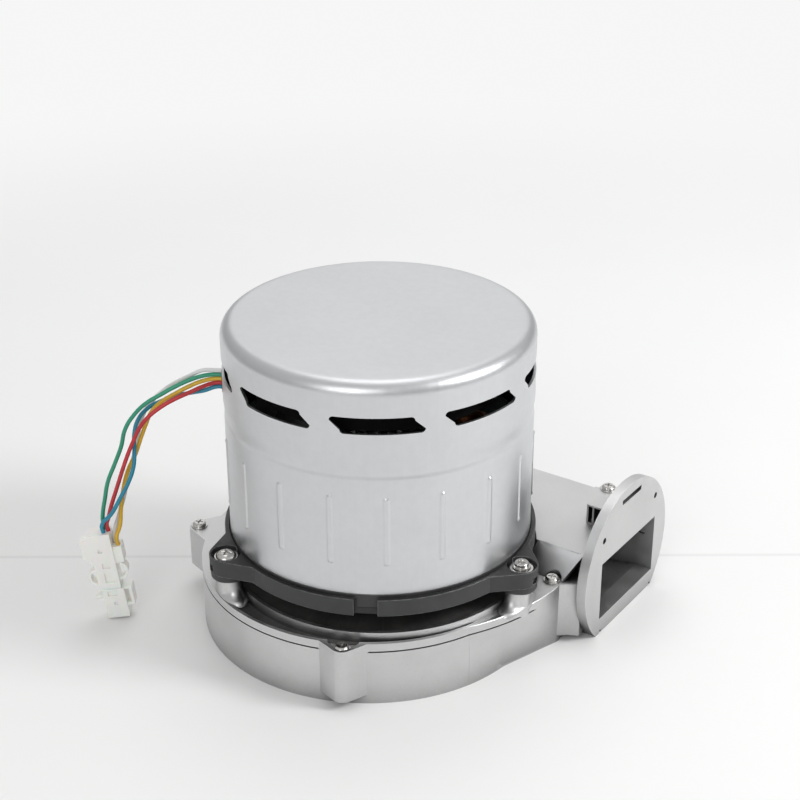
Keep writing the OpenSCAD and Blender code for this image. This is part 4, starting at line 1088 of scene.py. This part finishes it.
def make_lug_fixings():
    """Washers in the lug cups, two wide low screws and one socket screw on a collar."""
    seat = CUP_Z + WASHER_T
    washer = [(HOLE_R, CUP_Z), (5.7, CUP_Z), (5.85, CUP_Z + 0.25), (5.85, CUP_Z + 0.8)]
    washer += [(5.6, seat), (HOLE_R, seat)]
    collar = [(HOLE_R, seat), (4.3, seat), (4.4, CUP_Z + 1.2), (4.2, CUP_Z + 1.7), (HOLE_R, CUP_Z + 1.7)]
    pan = [(0.0, SHANK_FOOT), (SHANK_R, SHANK_FOOT), (SHANK_R, seat), (4.9, seat), (5.0, seat + 0.3)]
    pan += [(4.8, seat + 0.75), (4.0, seat + 1.5), (3.0, seat + 1.95), (1.6, seat + 2.2), (0.0, seat + 2.25)]
    cap_low = seat + 0.7
    cap = [(0.0, SHANK_FOOT), (SHANK_R, SHANK_FOOT), (SHANK_R, cap_low), (3.35, cap_low)]
    cap += [(3.45, cap_low + 0.3)]
    cap += [(3.45, cap_low + 2.0), (3.1, cap_low + 2.4), (1.75, cap_low + 2.4), (1.6, cap_low + 2.2)]
    cap += [(1.5, cap_low + 0.8), (0.0, cap_low + 0.7)]
    places = [turn_out(turn, LUG_R) for turn in LUG_TURNS]
    washers = [turned_at(washer, place) for place in places] + [turned_at(collar, places[0])]
    screws = [turned_at(cap, places[0])] + [turned_at(pan, place) for place in places[1:]]
    rings = cast_piece("lug_washer_set", joined(washers), 0.0, "steel")
    heads = cast_piece("lug_screw_set", joined(screws), 0.0, "steel")
    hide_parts("lug_washers")
    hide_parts("lug_screws")
    bars = []
    for place in places[1:]:
        for turn in (25, 115):
            along, aside = turn_out(turn, RECESS_REACH), turn_out(turn + 90, RECESS_HALF)
            corners = [along + aside, aside - along, -along - aside, along - aside]
            bars.append(prism([tuple(place + c) for c in corners], seat + 1.1, seat + 3.0))
    for i, bar in enumerate(bars):
        cutter = cast_piece("recess_cutter_" + str(i), bar, 0.0, "steel")
        cut_out(heads, cutter)


make_tongue_wall()
make_tongue_post()
make_pillar_flares()
make_channel_dark_strip()
make_boss_bands()
make_notch_painted_shade()
make_lug_fixings()

# ---------------------------------------------------------------- carried-over solids

SLOT_OF = {part["node"]: part["material_slot"] for part in frame["record"]["subparts"]}
# How wide the edges of a node are rounded, in millimetres
EDGE_ROUND = {
    "volute_base": 0.5, "volute_cover": 0.35, "mount_ring": 0.45, "plug_housing": 0.45,
    "socket_housing": 0.45, "cover_screws": 0.25, "motor_plate": 0.2,
    "rubber_isolators": 0.2, "cooling_fan": 0.2, "cable_grommet": 0.25, "heat_sink": 0.15,
    "spacer_sleeves": 0.1,
}


def dress_solids():
    """Gives each solid that shows its finish, and softens its edges."""
    for name, piece in NODES.items():
        if piece.hide_render:
            continue
        finish = FINISHES[SLOT_OF.get(name, "cast_alu")]
        for holder in piece.material_slots:
            holder.material = finish
        if name in EDGE_ROUND:
            round_edges(piece, EDGE_ROUND[name])


# ---------------------------------------------------------------- stage

FLOOR_HALF = 3.0
JOINT_AWAY = 0.052
BACK_WHITE = (0.925, 0.925, 0.925)
SHADE_REACH = 0.45
WHITE_FROM = 0.95


def heading(x, y, z):
    """A direction or place in the camera's heading: x to its right, y away from it."""
    return turned("Z", CAMERA_HEADING) @ Vector((x, y, z))


def floor_finish():
    """A pale matt board, with the faint seam where the back board begins."""
    f = Finish("pale_board", roughness=0.75)
    across = f.parts(f.place())[1]
    seam = f.sum("ABSOLUTE", f.sum("SUBTRACT", across, JOINT_AWAY))
    line = f.span(seam, 0.0, 0.0022, 0.16, 0.0)
    back = f.span(across, JOINT_AWAY - 0.001, JOINT_AWAY + 0.3)
    board = f.blend(back, (0.86, 0.86, 0.855), (0.90, 0.90, 0.90))
    patches = f.use(
        "tone_drift", tone=(0.985, 0.985, 0.985), patch_tone=(1.0, 1.0, 1.0), patch_size=0.2, cover=0.5
    )
    board = f.blend(1.0, board, patches["Color"], "MULTIPLY")
    f.set(base_color=f.blend(line, board, (0.3, 0.3, 0.3)))
    away = f.put("VectorMath", {0: f.place()}, operation="LENGTH").outputs["Value"]
    path = f.put("LightPath").outputs
    mirrored = f.sum("MAXIMUM", path["Is Glossy Ray"], path["Is Transmission Ray"])
    seen = f.sum("MAXIMUM", path["Is Camera Ray"], mirrored)
    white = f.put("Emission", {"Color": BACK_WHITE, "Strength": 1.0}).outputs[0]
    share = f.sum("MULTIPLY", seen, f.span(away, SHADE_REACH, WHITE_FROM))
    both = f.put("MixShader", {0: share, 1: f.shader.outputs[0], 2: white}).outputs[0]
    f.feed(f.tree.nodes["Material Output"].inputs["Surface"], both)
    return f.material


def make_floor():
    """The pale board that the blower stands on."""
    mesh = bpy.data.meshes.new("floor_board")
    corners = [(-1, -1), (1, -1), (1, 1), (-1, 1)]
    mesh.from_pydata([(x * FLOOR_HALF, y * FLOOR_HALF, 0) for x, y in corners], [], [(0, 1, 2, 3)])
    floor = bpy.data.objects.new("floor_board", mesh)
    bpy.context.scene.collection.objects.link(floor)
    floor.matrix_world = turned("Z", CAMERA_HEADING)
    mesh.materials.append(floor_finish())


def soft_lamp(name, place, aim, size, power):
    """A round white lamp that faces a point near the blower, both placed in the camera's heading."""
    data = bpy.data.lights.new(name, "AREA")
    data.shape = "DISK"
    data.size = size
    data.energy = power
    lamp = bpy.data.objects.new(name, data)
    bpy.context.scene.collection.objects.link(lamp)
    place, aim = heading(*place), heading(*aim)
    facing = (aim - place).to_track_quat("-Z", "Y").to_matrix().to_4x4()
    lamp.matrix_world = Matrix.Translation(place) @ facing


def make_world():
    """A white room: plain white to the camera, and softly graded to what it lights."""
    world = bpy.data.worlds.new("white_room")
    bpy.context.scene.world = world
    world.use_nodes = True
    s = Sheet(world.node_tree)
    back = world.node_tree.nodes["Background"]
    s.feed(back.inputs["Color"], (1.0, 1.0, 1.0))
    seen = s.put("LightPath").outputs["Is Camera Ray"]
    up = s.parts(s.put("TexCoord").outputs["Generated"])[2]
    room = s.span(up, -0.1, 0.9, 0.42, 0.62)
    s.feed(back.inputs["Strength"], s.sum("MULTIPLY_ADD", seen, s.sum("SUBTRACT", BACK_WHITE[0], room), room))


make_floor()
make_world()
soft_lamp("key", (1.15, -0.32, 0.95), (0, 0, 0.06), size=0.45, power=10.2)
soft_lamp("front_fill", (-0.5, -1.3, 0.9), (0, 0, 0.08), size=0.9, power=4.6)
soft_lamp("top_fill", (0.0, 0.5, 1.5), (0, 0, 0.1), size=0.9, power=3.0)
soft_lamp("back_panel", (0.1, 1.7, 1.15), (0, 0, 0.15), size=1.9, power=3.7)

dress_solids()

view = bpy.context.scene.view_settings
view.view_transform = "Standard"
